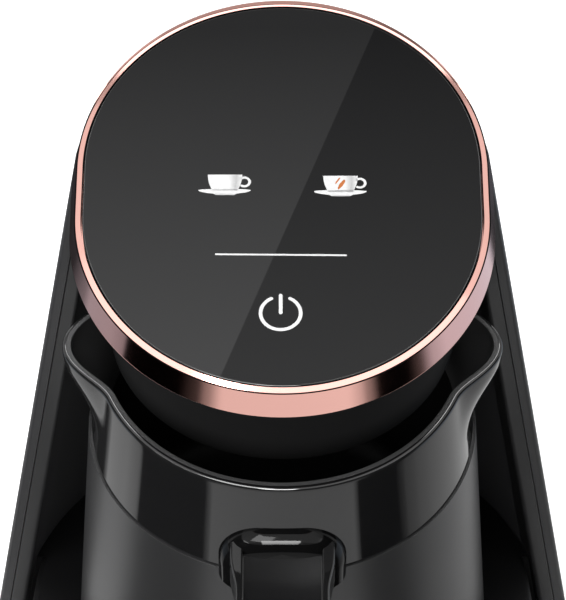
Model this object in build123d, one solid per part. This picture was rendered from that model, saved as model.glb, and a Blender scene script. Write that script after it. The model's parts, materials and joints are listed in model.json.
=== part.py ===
"""Electric Turkish coffee maker: a tilted touch-panel head over a two-spouted electric pot.

Millimetres, +Z up, front towards -Y.  The origin lies on the table under the middle of the
overall box.  Every sub-part is written to parts/NODE.step.
"""
from build123d import *
from math import cos, radians, sin, sqrt
import os

# ---------------------------------------------------------------- driving dimensions
fit = 0.1                    # clearance between pieces that are seated in each other
seam = 0.15                  # shadow gap between the outer casing and the liner
slide_gap = 0.3              # clearance between the pot and the deck it slides on
far = 400.0                  # larger than anything here, for cutting shapes

# Heights, from the table up.
body_foot = 4.0              # lower edge of the casing
deck_height = 42.0           # top of the deck
pot_height = 98.7            # the pot, foot to rim
head_rise = 49.0             # from the pot's rim to the middle of the touch panel
pot_foot = deck_height + slide_gap
rim_height = pot_foot + pot_height
panel_height = rim_height + head_rise

# Pot: collar, body and steel cup.
rim_outer = 41.2             # radius under the rolled rim
rim_inner = rim_outer - 2.1
rim_round = 1.1
collar_height = 26.5
collar_foot_outer = rim_outer + 2.0
collar_foot_inner = collar_foot_outer - 4.3
spout_reach = 7.4            # how far a spout stands out of the rim
spout_half_angle = 22.5      # degrees
spout_drop = 20.0            # the spouts fade into the collar this far below the rim
pot_body_top = collar_foot_outer + 0.45
pot_body_foot = pot_body_top + 5.05
pot_body_wall = 2.0
pot_base_height = 3.2
cup_inset = 3.9              # from the pot's outside to the outside of the steel cup
steel = 0.8
vessel_floor = pot_foot + 17.7
vessel_corner = 6.0
counterbore = collar_foot_outer - 2.0        # radius of the collar's seat for the cup's flange
flange_radius = counterbore - 0.2
flange_level = rim_height - collar_height + 1.7
seal_thick = 1.0
neck_outer = counterbore - 0.15
neck_inner = neck_outer - 0.85
neck_root = 4.2              # from the collar's foot down to the root of the body's neck
spreader_thick = 3.0
spreader_radius = pot_body_foot - 10.7
base_boss_ring = spreader_radius - 3.6       # pot axis to the studs of the spreader
base_boss_angles = (90.0, 210.0, 330.0)
stud_foot = vessel_floor - 12.0              # lower end of those studs
stud_radius = 2.6
base_screw_sunk = 0.4
element_radius = 27.0
element_tube = 3.2
thermostat_radius = 8.0
thermostat_height = 6.0

# Handle.
boss_radius = 14.4
boss_reach = collar_foot_outer + 3.3         # pot axis to the front of the boss
boss_root = rim_inner - 2.5                  # where the boss has passed through the pot's wall
boss_height = rim_height - 26.2
boss_round = 4.0
grip_width = 20.0
grip_thick = 10.0
grip_height = boss_height + 5.7              # centre line of the arm where it leaves the boss
grip_foot = deck_height + 16.0
grip_bend = 19.0
handle_reach = boss_reach + 38.5             # pot axis to the outside of the handle
rail_width = 2.4
inlay_depth = 2.6
inlay_sunk = 0.9
grip_round = 1.6             # long edges of the handle
grip_end_round = 1.2
inlay_foot = grip_foot + 4.0
ear_width = 3.2              # rounded ends of the rails, beside the boss
ear_length = 9.0
ear_stand = 1.3              # how far an ear stands out of the handle's side
grip_start = boss_reach - 3.6                # pot axis to the inner end of the handle's root
tongue_thick = 2.4
tongue_width = 14.0
tongue_foot = boss_height - boss_radius + 3.6
handle_screw_x = 4.0
handle_screw_height = boss_height - boss_radius + 5.6
handle_screw_seat = counterbore + 0.6
handle_screw_length = boss_reach - handle_screw_seat - 1.3

# Head: panel, bright ring and cup.
panel_tilt = 5.5             # degrees, front edge down
glass_half_width = 42.0
glass_half_length = 50.5
glass_straight = 6.2         # half length of the straight sides
glass_thick = 2.2
ring_gap = 0.2               # round the glass
ring_bevel = 1.3             # width of the bright bevel
ring_bevel_drop = 0.55
ring_height = 7.0
ring_flare = 1.3             # how much further out the ring's foot stands
ring_ledge = 2.0             # ledge under the glass
ring_ledge_thick = 1.5
ring_pocket = 0.9            # outline of the pocket under the ledge, beyond the glass
tape_thick = 0.3
cup_half_width = glass_half_width - 1.0
cup_half_length = glass_half_length - 1.0
cup_foot_radius = rim_outer - 3.7
cup_foot_round = 4.0
cup_wall = 2.2
cup_top = 4.3                # depth of the cup's upper edge below the panel
rim_gap = 4.5                # from the pot's rim up to the cup
cup_foot = rim_height + rim_gap
cup_window = 29.0            # opening in the cup's foot
board_thick = 1.2
board_depth = 4.05           # from the panel's face down to the touch board
light_wells = [(-12.5, 4.5, 3.0), (12.5, 4.5, 3.0), (0.0, -32.5, 3.0)]
floor_level = cup_foot + cup_wall
floor_thick = 1.8
window_radius = 6.0
head_screw_height = panel_height - 22.0      # the screws that hold the cup to the casing
head_screw_x = 17.0
head_screw_start = 34.5      # seat of the screw heads, inside the cup
head_screw_length = 15.5
head_boss_radius = 3.5

# Casing: a cone that stands a little behind the pot axis, open at the front.
body_half_foot = pot_body_foot + 25.0        # half width of the front edges, at the foot
body_half_top = glass_half_width + 1.7       # the same just under the panel
body_top = panel_height - 2.0                # height at which that top size holds
casing_axis = 8.9            # how far the casing's axis stands behind the pot axis
wing_front = 15.0            # front edges of the casing, behind the pot axis
shell_wall = 2.6
shell_round = 0.9            # outer front edges of the casing
liner_wall = 2.2
bay_axis = -4.0              # the bay's axis, in front of the pot axis
wing_flat = 4.8              # front face of the liner, with its rounding
wing_round = 2.6             # rounding from that face into the bay
joint = wing_front + wing_round              # where the plinth meets the deck's rear part

# Base.
deck_wall = 2.5
deck_round = 1.5
plinth_axis = 4.5            # the plinth's axis, behind the pot axis
plinth_radius = pot_body_foot + 11.3         # at the deck
plinth_flare = 6.5           # how much wider the foot is
plate_under = 1.5
plate_inset = 0.6
foot_radius = 6.5
foot_height = 3.0
foot_places = [(-46.0, -22.0), (46.0, -22.0), (-48.0, 38.0), (48.0, 38.0)]
deck_screw_places = [(-40.0, -30.0), (40.0, -30.0), (-44.0, 24.0), (44.0, 24.0)]
lug_screw_x = 30.0
lug_inset = 4.0              # from the casing's outside to those screws
vent_count = 7
vent_pitch = 6.0
screw_radius = 1.4
screw_pilot = 1.5
screw_pass = 1.8
screw_head = 2.8
screw_head_thick = 1.1
head_room = 0.3              # round a sunk screw head

# Power board.
board_level = 16.0
power_board_thick = 1.6
on_board = board_level + power_board_thick
board_width = 80.0
board_length = 52.0
board_middle = 8.0
board_post_places = [(-36.0, -14.0), (36.0, -14.0), (-36.0, 30.0), (36.0, 30.0)]
terminal_x = 12.0
terminal_y = 27.0

# Electrical coupling between pot and machine, at the back of the bay.
plug_height = pot_foot + 10.7
plug_width = 24.0
plug_tall = 12.0
plug_start = pot_body_foot - 8.2
plug_front = pot_body_foot + 5.3             # where plug and socket nearly meet
plug_gap = 0.4
pin_spacing = 7.5
pin_radius = 1.2
pin_length = 9.0
socket_rear = plug_front + 14.0
socket_flange = 1.5
socket_lip = 1.0             # how much larger the socket's nose is than the plug
contact_outer = 2.1
contact_inner = 1.5
lead_radius = 1.1

# Cord inlet at the rear; the bush takes the mains cord.
inlet_height = 18.0
inlet_bore = 3.5
inlet_neck = 5.0
inlet_flange = 6.5
inlet_pad = 9.0              # radius of the thickened wall round the bush

# Harness from the head to the power board.
harness_x = -22.0
harness_radius = 1.8
harness_bend = 6.0
wire_notch_top = 37.0        # gap for the wiring in the rear walls of liner and base
wire_notch_width = 64.0

casing_foot_radius = sqrt(body_half_foot ** 2 + (wing_front - casing_axis) ** 2)
casing_top_radius = sqrt(body_half_top ** 2 + (wing_front - casing_axis) ** 2)
bay_half_foot = body_half_foot - shell_wall - seam - wing_flat
bay_half_top = body_half_top - shell_wall - seam - wing_flat
bay_foot_radius = sqrt(bay_half_foot ** 2 + (joint - bay_axis) ** 2)
bay_top_radius = sqrt(bay_half_top ** 2 + (joint - bay_axis) ** 2)
rear_reach = casing_axis + casing_foot_radius
axis_y = (handle_reach - rear_reach) / 2     # the pot axis, so that the box is centred


# ---------------------------------------------------------------- shared shapes
def level(z):
    """A horizontal plane on the pot axis."""
    return Plane((0, axis_y, z))


def head_level(depth):
    """A plane parallel to the touch panel, depth below its face."""
    tilt = radians(panel_tilt)
    face = Plane((0, axis_y, panel_height), x_dir=(1, 0, 0), z_dir=(0, -sin(tilt), cos(tilt)))
    return face.offset(-depth)


def at(x, y, z):
    """A place given from the pot axis."""
    return Pos(x, axis_y + y, z)


def oval(half_x, half_y):
    """An ellipse whose seam is always on +X, so that ovals loft without a twist."""
    rear = EllipticalCenterArc((0, 0), half_x, half_y, start_angle=0, arc_size=180)
    front = EllipticalCenterArc((0, 0), half_x, half_y, start_angle=180, arc_size=180)
    return make_face(Wire([rear, front]))


def head_outline(grow=0.0):
    """The panel's outline: two short straight sides and two nearly round ends."""
    half_x = glass_half_width + grow
    end = glass_half_length - glass_straight + grow
    s = glass_straight
    right = Line((half_x, -s), (half_x, s))
    rear = EllipticalCenterArc((0, s), half_x, end, start_angle=0, arc_size=180)
    left = Line((-half_x, s), (-half_x, -s))
    front = EllipticalCenterArc((0, -s), half_x, end, start_angle=180, arc_size=180)
    return make_face(Wire([right, rear, left, front]))


def head_slab(outline, top, bottom):
    """An upright slab in the head, between two depths below the panel's face."""
    return extrude(head_level(bottom) * outline, amount=bottom - top)


def flank(z, foot, top):
    """A size that changes evenly from the casing's foot to its top."""
    return foot + (top - foot) * (z - body_foot) / (body_top - body_foot)


def casing_radius(z):
    return flank(z, casing_foot_radius, casing_top_radius)


def bay_radius(z):
    return flank(z, bay_foot_radius, bay_top_radius)


def casing_rear(z, x=0.0, inset=0.0):
    """How far behind the pot axis the casing's outside is, at one height and side."""
    return casing_axis + sqrt((casing_radius(z) - inset) ** 2 - x ** 2)


def bay_rear(z, x=0.0, inset=0.0):
    """The same for the bay's rear wall."""
    return bay_axis + sqrt((bay_radius(z) - inset) ** 2 - x ** 2)


def casing_cone(inset=0.0):
    """The casing's outer form, or a smaller one inside it."""
    low, high = -10.0, panel_height + 15.0
    body = cone(low, high, casing_radius(low) - inset, casing_radius(high) - inset)
    return Pos(0, casing_axis, 0) * body


def bay_cone(inset=0.0):
    """The form of the pot bay."""
    low, high = -10.0, panel_height + 15.0
    return Pos(0, bay_axis, 0) * cone(low, high, bay_radius(low) - inset, bay_radius(high) - inset)


def plinth_cone(inset=0.0):
    """The form of the front of the base."""
    flare = plinth_flare * (deck_height + 10.0) / (deck_height - body_foot)
    wide = plinth_radius + flare - inset
    return Pos(0, plinth_axis, 0) * cone(-10.0, deck_height, wide, plinth_radius - inset)


def cone(low, high, low_radius, high_radius):
    """A truncated cone on the pot axis."""
    size = high - low
    if abs(low_radius - high_radius) < 1e-9:
        shape = Cylinder(low_radius, size, align=(Align.CENTER, Align.CENTER, Align.MIN))
    else:
        shape = Cone(low_radius, high_radius, size, align=(Align.CENTER, Align.CENTER, Align.MIN))
    return at(0, 0, low) * shape


def ring(low, high, outer, inner):
    """A straight ring on the pot axis."""
    return cone(low, high, outer, outer) - cone(low - 1, high + 1, inner, inner)


def post(x, y, low, high, radius):
    """An upright round post, placed from the pot axis."""
    up = (Align.CENTER, Align.CENTER, Align.MIN)
    return at(x, y, low) * Cylinder(radius, high - low, align=up)


def rod_y(x, z, start, end, radius):
    """A round rod along Y, placed from the pot axis."""
    up = (Align.CENTER, Align.CENTER, Align.MIN)
    return at(x, start, z) * Rot(-90, 0, 0) * Cylinder(radius, end - start, align=up)


def block(x, y, z, size_x, size_y, size_z):
    """A block whose centre of the underside is placed from the pot axis."""
    up = (Align.CENTER, Align.CENTER, Align.MIN)
    return at(x, y, z) * Box(size_x, size_y, size_z, align=up)


def behind(y):
    """All the space behind a distance from the pot axis."""
    return at(0, y, 0) * Box(far, far, 2 * far, align=(Align.CENTER, Align.MIN, Align.CENTER))


def before(y):
    """All the space in front of a distance from the pot axis."""
    return at(0, y, 0) * Box(far, far, 2 * far, align=(Align.CENTER, Align.MAX, Align.CENTER))


def above(z):
    """All the space above a height."""
    return Pos(0, 0, z) * Box(2 * far, 2 * far, far, align=(Align.CENTER, Align.CENTER, Align.MIN))


def over_head_level(depth):
    """All the space over a plane in the head."""
    up = (Align.CENTER, Align.CENTER, Align.MIN)
    return head_level(depth) * Box(far, far, far / 2, align=up)


def tube_along(points, radius, bend):
    """A round wire or tube along straight runs joined by arcs."""
    places = [(x, axis_y + y, z) for x, y, z in points]
    path = FilletPolyline(*places, radius=bend)
    start = Plane(origin=path @ 0, z_dir=path % 0)
    return sweep(start * Circle(radius), path=path)


def screw(length):
    """A pan-head screw standing on its head at the origin, shank up."""
    up = (Align.CENTER, Align.CENTER, Align.MIN)
    head = Cylinder(screw_head, screw_head_thick, align=up)
    head = fillet(head.edges().group_by(Axis.Z)[0], 0.5)
    shank = Pos(0, 0, screw_head_thick) * Cylinder(screw_radius, length, align=up)
    tip = shank.edges().group_by(Axis.Z)[-1]
    return head + chamfer(tip, 0.5)


# ---------------------------------------------------------------- casing and bay
def head_cup_outside(grow=0.0):
    """The outside of the head's cup, from under the ring down to its foot."""
    top = head_level(cup_top) * oval(cup_half_width + grow, cup_half_length + grow)
    bottom = level(cup_foot - grow) * oval(cup_foot_radius + grow, cup_foot_radius + grow)
    return loft([bottom, top], ruled=True)


def harness_route():
    """The harness: down in the head, back through the cup, down the column, onto the board."""
    x = harness_x
    into = cup_foot + 14.5
    out = cup_foot + 4.5
    past_socket = vessel_floor
    out_y = casing_rear(out, x, shell_wall + 5.0)
    socket_y = casing_rear(past_socket, x, shell_wall + 6.0)
    foot_y = casing_rear(24.0, x, shell_wall + 7.0)
    plug_y = board_middle + board_length / 2 - 1.8
    return [(x, 28.0, panel_height - 11.0), (x, 28.0, into), (x, out_y, out),
            (x, socket_y, past_socket), (x, foot_y, 24.0), (x, plug_y, 21.0)]


def wire_hole():
    """The way of the harness out of the cup and through the liner."""
    x, y, z = harness_route()[1]
    next_x, next_y, next_z = harness_route()[2]
    start = Plane((x, axis_y + y, z), z_dir=(0, next_y - y, next_z - z))
    up = (Align.CENTER, Align.CENTER, Align.MIN)
    return start * Cylinder(harness_radius + 1.2, 20, align=up)


def lug_screw_places():
    """The two screws at the rear, near the casing's wall."""
    y = casing_rear(body_foot, lug_screw_x, shell_wall + lug_inset)
    return [(-lug_screw_x, y), (lug_screw_x, y)]


def trim_casing(shape):
    """Cuts a casing part at its front edges, its foot and the underside of the ring."""
    kept = shape & behind(wing_front) & above(body_foot)
    return kept - over_head_level(ring_height + fit)


def front_edges(shape):
    """The long front edges of a casing part, the innermost first."""
    front = axis_y + wing_front
    edges = [e for e in shape.edges() if abs(e.center().Y - front) < 0.01 and e.length > 100]
    return sorted(edges, key=lambda e: abs(e.center().X))


def inlet_seat():
    """How far behind the pot axis the bush's flange is seated."""
    return casing_rear(inlet_height) - 2.1


def outer_shell():
    """The flared outer casing: rear and both sides, down to the table."""
    shell = trim_casing(casing_cone() - casing_cone(shell_wall))
    shell = fillet(front_edges(shell)[-2:], shell_round)
    inside = casing_cone(shell_wall / 2)
    for x in (-head_screw_x, head_screw_x):
        boss = rod_y(x, head_screw_height, head_screw_start, rear_reach, head_boss_radius)
        shell += (boss & inside) - head_cup_outside(fit)
        screw_end = head_screw_start + head_screw_length + head_room
        shell -= rod_y(x, head_screw_height, head_screw_start, screw_end, screw_pilot)
    for x, y in lug_screw_places():
        shell += post(x, y, body_foot, body_foot + 12, 3.5) & inside
        shell -= post(x, y, body_foot - 1, body_foot + 10, screw_pilot)
    shell += rod_y(0, inlet_height, inlet_seat() - 4, rear_reach, inlet_pad) & inside
    shell -= rod_y(0, inlet_height, inlet_seat() - 5, rear_reach + 5, inlet_neck + fit)
    return shell - rod_y(0, inlet_height, inlet_seat(), rear_reach + 5, inlet_flange + fit)


def wire_notch(room):
    """The gap in the rear walls of liner and base that the wiring comes through."""
    rear = bay_rear(body_foot) + 5
    return block(0, rear - 12, 0, wire_notch_width + room, 24, wire_notch_top)


def inner_shell():
    """The liner of the pot bay, with the flat front faces beside the seam."""
    liner = trim_casing(casing_cone(shell_wall + seam) - bay_cone())
    liner = fillet(front_edges(liner)[:2], wing_round)
    column = casing_cone(shell_wall + seam - 1) - bay_cone(-liner_wall)
    liner -= column & behind(wing_front + liner_wall)
    liner -= head_cup_outside(seam)
    socket_low = plug_height - plug_tall / 2 - socket_lip - fit
    hole_width = plug_width + 2 * socket_lip + 2 * fit
    hole_height = plug_tall + 2 * socket_lip + 2 * fit
    liner -= block(0, bay_rear(plug_height), socket_low, hole_width, 16, hole_height)
    liner -= wire_notch(2) + wire_hole()
    for x in (-head_screw_x, head_screw_x):
        liner -= rod_y(x, head_screw_height, 30, rear_reach, head_boss_radius + seam)
    return liner


def base_housing():
    """The deck the pot stands on, with the rounded plinth in front."""
    plinth = plinth_cone() & before(joint) & above(body_foot)
    rear = (bay_cone(seam) & behind(joint) & above(body_foot)) - above(deck_height)
    solid = plinth + rear
    top_edges = [e for e in solid.edges() if e.center().Z > deck_height - 0.01]
    solid = fillet([e for e in top_edges if e.center().Y < axis_y], deck_round)
    front = plinth_cone(deck_wall) & before(joint + 1)
    back = bay_cone(seam + deck_wall) & behind(joint)
    solid -= (front + back) - above(deck_height - deck_wall)
    for x, y in deck_screw_places:
        solid += post(x, y, body_foot, deck_height - deck_wall, 4)
        solid -= post(x, y, body_foot - 1, body_foot + 12, screw_pilot)
    return solid - wire_notch(0)


def base_plate():
    """The plate that closes the underside, with pockets for the feet and air slots."""
    rear = casing_cone(plate_inset) & behind(wing_front)
    front = plinth_cone(plate_inset) & before(joint)
    plate = ((rear + front) & above(plate_under)) - above(body_foot)
    for x, y in board_post_places:
        plate += post(x, y, plate_under, board_level, 3)
        plate -= post(x, y, board_level - 7, board_level + 1, screw_pilot)
    for x, y in foot_places:
        plate -= post(x, y, 0, foot_height, foot_radius + fit)
    for x, y in deck_screw_places + lug_screw_places():
        plate -= post(x, y, 0, body_foot + 1, screw_pass)
        plate -= post(x, y, 0, plate_under + screw_head_thick, screw_head + head_room)
    for i in range(vent_count):
        y = axis_y + board_middle + vent_pitch * (i - (vent_count - 1) / 2)
        plate -= extrude(Plane((0, y, 0)) * SlotOverall(26, 2.4), amount=body_foot + 1)
    return plate


def rubber_feet():
    feet = []
    for x, y in foot_places:
        foot = post(x, y, 0, foot_height, foot_radius)
        feet.append(chamfer(foot.edges().group_by(Axis.Z)[0], 0.6))
    return feet


def base_screws():
    places = deck_screw_places + lug_screw_places()
    return [at(x, y, plate_under) * screw(9) for x, y in places]


def cord_bushing():
    """The rubber bush in the rear wall that the mains cord passes through."""
    seat = inlet_seat()
    inner_end = seat - 13
    outer_end = seat + 3.4
    neck = rod_y(0, inlet_height, inner_end, seat, inlet_neck)
    flange = rod_y(0, inlet_height, seat, outer_end, inlet_flange)
    flange = fillet(flange.edges().group_by(Axis.Y)[-1], 0.8)
    collar = rod_y(0, inlet_height, seat - 4 - fit - 2, seat - 4 - fit, inlet_flange)
    bore = rod_y(0, inlet_height, inner_end - 1, outer_end + 1, inlet_bore)
    return neck + flange + collar - bore


# ---------------------------------------------------------------- electronics in the base
def power_board():
    board = block(0, board_middle, board_level, board_width, board_length,
                  power_board_thick)
    board = fillet(board.edges().filter_by(Axis.Z), 2)
    for x, y in board_post_places:
        board -= post(x, y, board_level - 1, board_level + 3, screw_pass)
    return board


def board_screws():
    top = on_board + screw_head_thick
    return [at(x, y, top) * Rot(180, 0, 0) * screw(6) for x, y in board_post_places]


def power_relay():
    body = block(-22, 6, on_board, 16, 20, 15)
    return fillet(body.edges().filter_by(Axis.Z), 1)


def supply_transformer():
    """Laminated core with its winding bobbin."""
    core = block(16, 4, on_board, 24, 10, 18)
    bobbin = fillet(block(16, 4, on_board + 3, 16, 18, 12).edges().filter_by(Axis.X), 2)
    return core + bobbin


def board_parts():
    """Smoothing capacitor, fuse, terminal block and harness socket on the board."""
    capacitor = post(2, -10, on_board, on_board + 15, 5)
    capacitor = fillet(capacitor.edges().group_by(Axis.Z)[-1], 0.8)
    fuse = at(-12, -12, on_board + 3) * Rot(0, 90, 0) * Cylinder(2.6, 18)
    terminal = block(terminal_x, terminal_y, on_board, 26, 9, 10)
    for x in pin_places():
        terminal -= post(terminal_x + x, terminal_y, on_board + 7, on_board + 11, 1.8)
    plug = block(harness_x, 29, on_board, 10, 6, 7)
    return [capacitor, fuse, terminal, plug]


def wire_harness():
    """The lead from the head down the rear column to the board."""
    return tube_along(harness_route(), harness_radius, harness_bend)


# ---------------------------------------------------------------- socket in the bay
def pin_places():
    return [i * pin_spacing for i in (-1, 0, 1)]


def rounded_block(y, depth, width, height, radius):
    """A block along Y with rounded corners, centred on the coupling's height."""
    plane = Plane((0, axis_y + y, plug_height), x_dir=(1, 0, 0), z_dir=(0, 1, 0))
    return extrude(plane * RectangleRounded(width, height, radius), amount=depth)


def socket_housing():
    """The machine's socket, let into the rear wall of the bay."""
    nose_start = plug_front + plug_gap
    nose = rounded_block(nose_start, socket_rear - nose_start, plug_width + 2 * socket_lip,
                         plug_tall + 2 * socket_lip, 2.5)
    flange_foot = plug_height - plug_tall / 2 - 3
    flange_start = bay_rear(flange_foot, 0, -liner_wall) + seam
    flange = rounded_block(flange_start, socket_flange, plug_width + 8, plug_tall + 6, 3)
    body = nose + flange
    for x in pin_places():
        body -= rod_y(x, plug_height, plug_front, socket_rear + 1, contact_outer + 0.05)
    return body


def socket_contacts():
    """Three sprung sleeves that take the pot's pins."""
    contacts = []
    for x in pin_places():
        sleeve = rod_y(x, plug_height, plug_front + 2, socket_rear + 1.2, contact_outer)
        sleeve -= rod_y(x, plug_height, plug_front + 1, socket_rear - 1, contact_inner)
        contacts.append(sleeve)
    return contacts


def socket_leads():
    """Three leads from the socket's sleeves down to the terminal block."""
    leads = []
    start = socket_rear - 2.5
    bottom = plug_height - plug_tall / 2 - socket_lip - fit
    terminal_end = terminal_y + 4.5 + 0.2
    for x in pin_places():
        end = terminal_x + x
        route = [(x, start, bottom), (x, start, bottom - 12), (end, start - 12, 26),
                 (end, terminal_end, 22.5)]
        leads.append(tube_along(route, lead_radius, 4))
    return leads


# ---------------------------------------------------------------- head
def trim_ring():
    """The bright ring: a bevel, a flared band and a ledge for the glass."""
    outer = ring_gap + ring_bevel
    bevel = loft([head_level(ring_bevel_drop) * head_outline(outer),
                  head_level(0) * head_outline(ring_gap + 0.05)], ruled=True)
    band = loft([head_level(ring_height) * head_outline(outer + ring_flare),
                 head_level(ring_bevel_drop) * head_outline(outer)], ruled=True)
    glass_floor = glass_thick + tape_thick
    ledge_foot = glass_floor + ring_ledge_thick
    body = bevel + band
    body -= head_slab(head_outline(ring_gap), -1, glass_floor)
    body -= head_slab(head_outline(-ring_ledge), glass_floor - 1, ledge_foot + 1)
    return body - head_slab(head_outline(ring_pocket), ledge_foot, ring_height + 1)


def glass_panel():
    panel = head_slab(head_outline(), 0, glass_thick)
    tilt_axis = Axis((0, 0, 0), head_level(0).z_dir)
    top = panel.faces().sort_by(tilt_axis)[-1]
    return chamfer(top.edges(), 0.25)


def glass_tape():
    tape = head_slab(head_outline(-0.2), glass_thick, glass_thick + tape_thick)
    return tape - head_slab(head_outline(-ring_ledge + 0.2), 0, 5)


def light_guide():
    """The diffuser under the glass that the symbols are lit through."""
    top = glass_thick + 0.15
    guide = head_slab(head_outline(-ring_ledge - 0.3), top, top + 1.55)
    for x, y, size in light_wells:
        guide -= head_level(5) * Pos(x, y, 0) * Cylinder(size, 2.4)
    return guide


def touch_board():
    """The touch electrodes and lamps behind the glass."""
    half_x = cup_half_width - 3.5
    half_y = cup_half_length - 4.0
    return head_slab(oval(half_x, half_y), board_depth, board_depth + board_thick)


def touch_board_parts():
    """Controller, driver and plug under the touch board."""
    under = board_depth + board_thick
    chip = head_slab(Pos(0, -4) * Rectangle(10, 10), under, under + 1.4)
    driver = head_slab(Pos(-18, 8) * Rectangle(7, 5), under, under + 1.4)
    plug = head_slab(Pos(harness_x, 27) * Rectangle(9, 5), under, under + 5)
    return [chip, driver, plug]


def buzzer():
    under = board_depth + board_thick
    return head_slab(Pos(18, 16) * Circle(6.5), under, under + 3)


def head_cup():
    """The cup that hangs under the ring and over the pot."""
    outside = head_cup_outside()
    foot_edges = outside.edges().filter_by(lambda e: abs(e.center().Z - cup_foot) < 0.01)
    outside = fillet(foot_edges, cup_foot_round)
    spigot = head_slab(head_outline(ring_pocket - 0.2), cup_top, cup_top + 1.5)
    inner_width = cup_half_width - cup_wall
    inner_length = cup_half_length - cup_wall
    inside_top = head_level(cup_top - 2) * oval(inner_width, inner_length)
    inner_foot = cup_foot_radius - cup_wall
    inside_foot = level(cup_foot + cup_wall) * oval(inner_foot, inner_foot)
    inside = loft([inside_foot, inside_top], ruled=True)
    ledge = head_slab(oval(inner_width + 0.6, inner_length + 0.6), cup_top + 1, cup_top + 3)
    ledge -= head_slab(oval(inner_width - 2.3, inner_length - 2.3), cup_top, cup_top + 4)
    shell = (outside + spigot) - inside + ledge
    shell -= cone(cup_foot - 1, floor_level + 1, cup_window, cup_window)
    for x in (-head_screw_x, head_screw_x):
        shell += rod_y(x, head_screw_height, head_screw_start, rear_reach, 4) & outside
        shell -= rod_y(x, head_screw_height, head_screw_start - 9, head_screw_start, 4)
        shell -= rod_y(x, head_screw_height, head_screw_start - 1, rear_reach, screw_pass)
    return shell - wire_hole()


def head_floor():
    """The splash cover under the head, round the sensor window."""
    floor = cone(floor_level, floor_level + floor_thick, cup_window + 3, cup_window + 3)
    return floor - cone(floor_level - 1, floor_level + 3, window_radius, window_radius)


def sensor_window():
    """The clear window that the boil sensor looks through."""
    top = floor_level + floor_thick
    lens = cone(floor_level - 1.2, top, window_radius - fit, window_radius - fit)
    lens = fillet(lens.edges().group_by(Axis.Z)[0], 1.0)
    return lens + cone(top, top + 1, window_radius + 1.5, window_radius + 1.5)


def sensor_holder():
    """The holder of the boil sensor, over its window."""
    low = floor_level + floor_thick + 1
    holder = ring(low, low + 4, window_radius + 1.5, window_radius - 1.2)
    return holder + block(0, 0, low + 4, 20, 16, 1.2)


def head_screws():
    """Two screws that hold the cup to the casing, driven from inside the head."""
    start = head_screw_start - screw_head_thick
    places = [at(x, start, head_screw_height) for x in (-head_screw_x, head_screw_x)]
    return [place * Rot(-90, 0, 0) * screw(head_screw_length) for place in places]


# ---------------------------------------------------------------- pot
def spouted(radius, reach, count=48):
    """A round outline with two opposite spouts, on +X and -X."""
    points = []
    for i in range(count):
        angle = 360 * i / count
        off = min(angle % 180, 180 - angle % 180)
        bulge = 0.0
        if off < spout_half_angle:
            bulge = reach * (1 + cos(radians(180 * off / spout_half_angle))) / 2
        r = radius + bulge
        points.append((r * cos(radians(angle)), r * sin(radians(angle))))
    return make_face(Wire([Edge.make_spline([Vector(*p) for p in points], periodic=True)]))


def collar_radius(z, inside):
    """Radius of the collar away from its spouts, outside or inside."""
    share = (rim_height - z) / collar_height
    if inside:
        return rim_inner + (collar_foot_inner - rim_inner) * share
    return rim_outer + (collar_foot_outer - rim_outer) * share


def collar_solid(inside):
    """The collar's outer form, or the form of its inside, which runs past both ends."""
    over = 2.0 if inside else 0.0
    drops = [collar_height + over, spout_drop, 0.7 * spout_drop, 0.35 * spout_drop, 0.0]
    if inside:
        drops.append(-over)
    sections = []
    for drop in drops:
        share = min(max(drop / spout_drop, 0.0), 1.0)
        fade = (1 + cos(radians(180 * share))) / 2
        z = rim_height - drop
        sections.append(level(z) * spouted(collar_radius(z, inside), spout_reach * fade))
    return loft(sections)


def handle_boss(low, high):
    """The round boss at the root of the handle, between two heights."""
    boss = rod_y(0, boss_height, -boss_reach, -boss_root, boss_radius)
    boss = fillet(boss.edges().group_by(Axis.Y)[0], boss_round)
    return (boss & above(low)) - above(high)


def pot_collar():
    """The spouted collar with its rolled rim and the upper half of the handle's boss."""
    foot = rim_height - collar_height
    outside = collar_solid(inside=False)
    rim = outside.edges().filter_by(lambda e: abs(e.center().Z - rim_height) < 0.01)
    outside = fillet(rim, rim_round)
    boss = handle_boss(foot, rim_height)
    collar = (outside + boss) - collar_solid(inside=True)
    seat = flange_level + steel + seal_thick
    collar -= cone(foot - 1, seat, counterbore, counterbore)
    return collar - handle_root(fit)


def seal_ring():
    """The silicone ring between the steel cup and the collar."""
    low = flange_level + steel
    return ring(low, low + seal_thick - 0.05, flange_radius, collar_foot_inner + 0.4)


def body_radius(z):
    """Outer radius of the pot's body at one height."""
    top = rim_height - collar_height
    return pot_body_top + (pot_body_foot - pot_body_top) * (top - z) / (top - pot_foot)


def pot_body():
    """The conical outer body of the pot, with the lower half of the handle's boss."""
    top = rim_height - collar_height - 0.2
    low = pot_foot + pot_base_height
    root = top - neck_root
    body = cone(low, top, body_radius(low), body_radius(top))
    body += handle_boss(boss_height - boss_radius - 1, top)
    inner_low = body_radius(low - 1) - pot_body_wall
    body -= cone(low - 1, root, inner_low, body_radius(root) - pot_body_wall)
    body += cone(top - 1, flange_level, neck_outer, neck_outer)
    body -= cone(root - 1, flange_level + 1, neck_inner, neck_inner)
    body -= rounded_block(plug_start, 15, plug_width + 2 * fit, plug_tall + 2 * fit, 2 + fit)
    for x in (-handle_screw_x, handle_screw_x):
        body -= rod_y(x, handle_screw_height, -boss_reach + 2.5, -30, screw_pass)
        body -= rod_y(x, handle_screw_height, -handle_screw_seat, -30, screw_head + head_room)
    return body - handle_root(fit)


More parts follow.
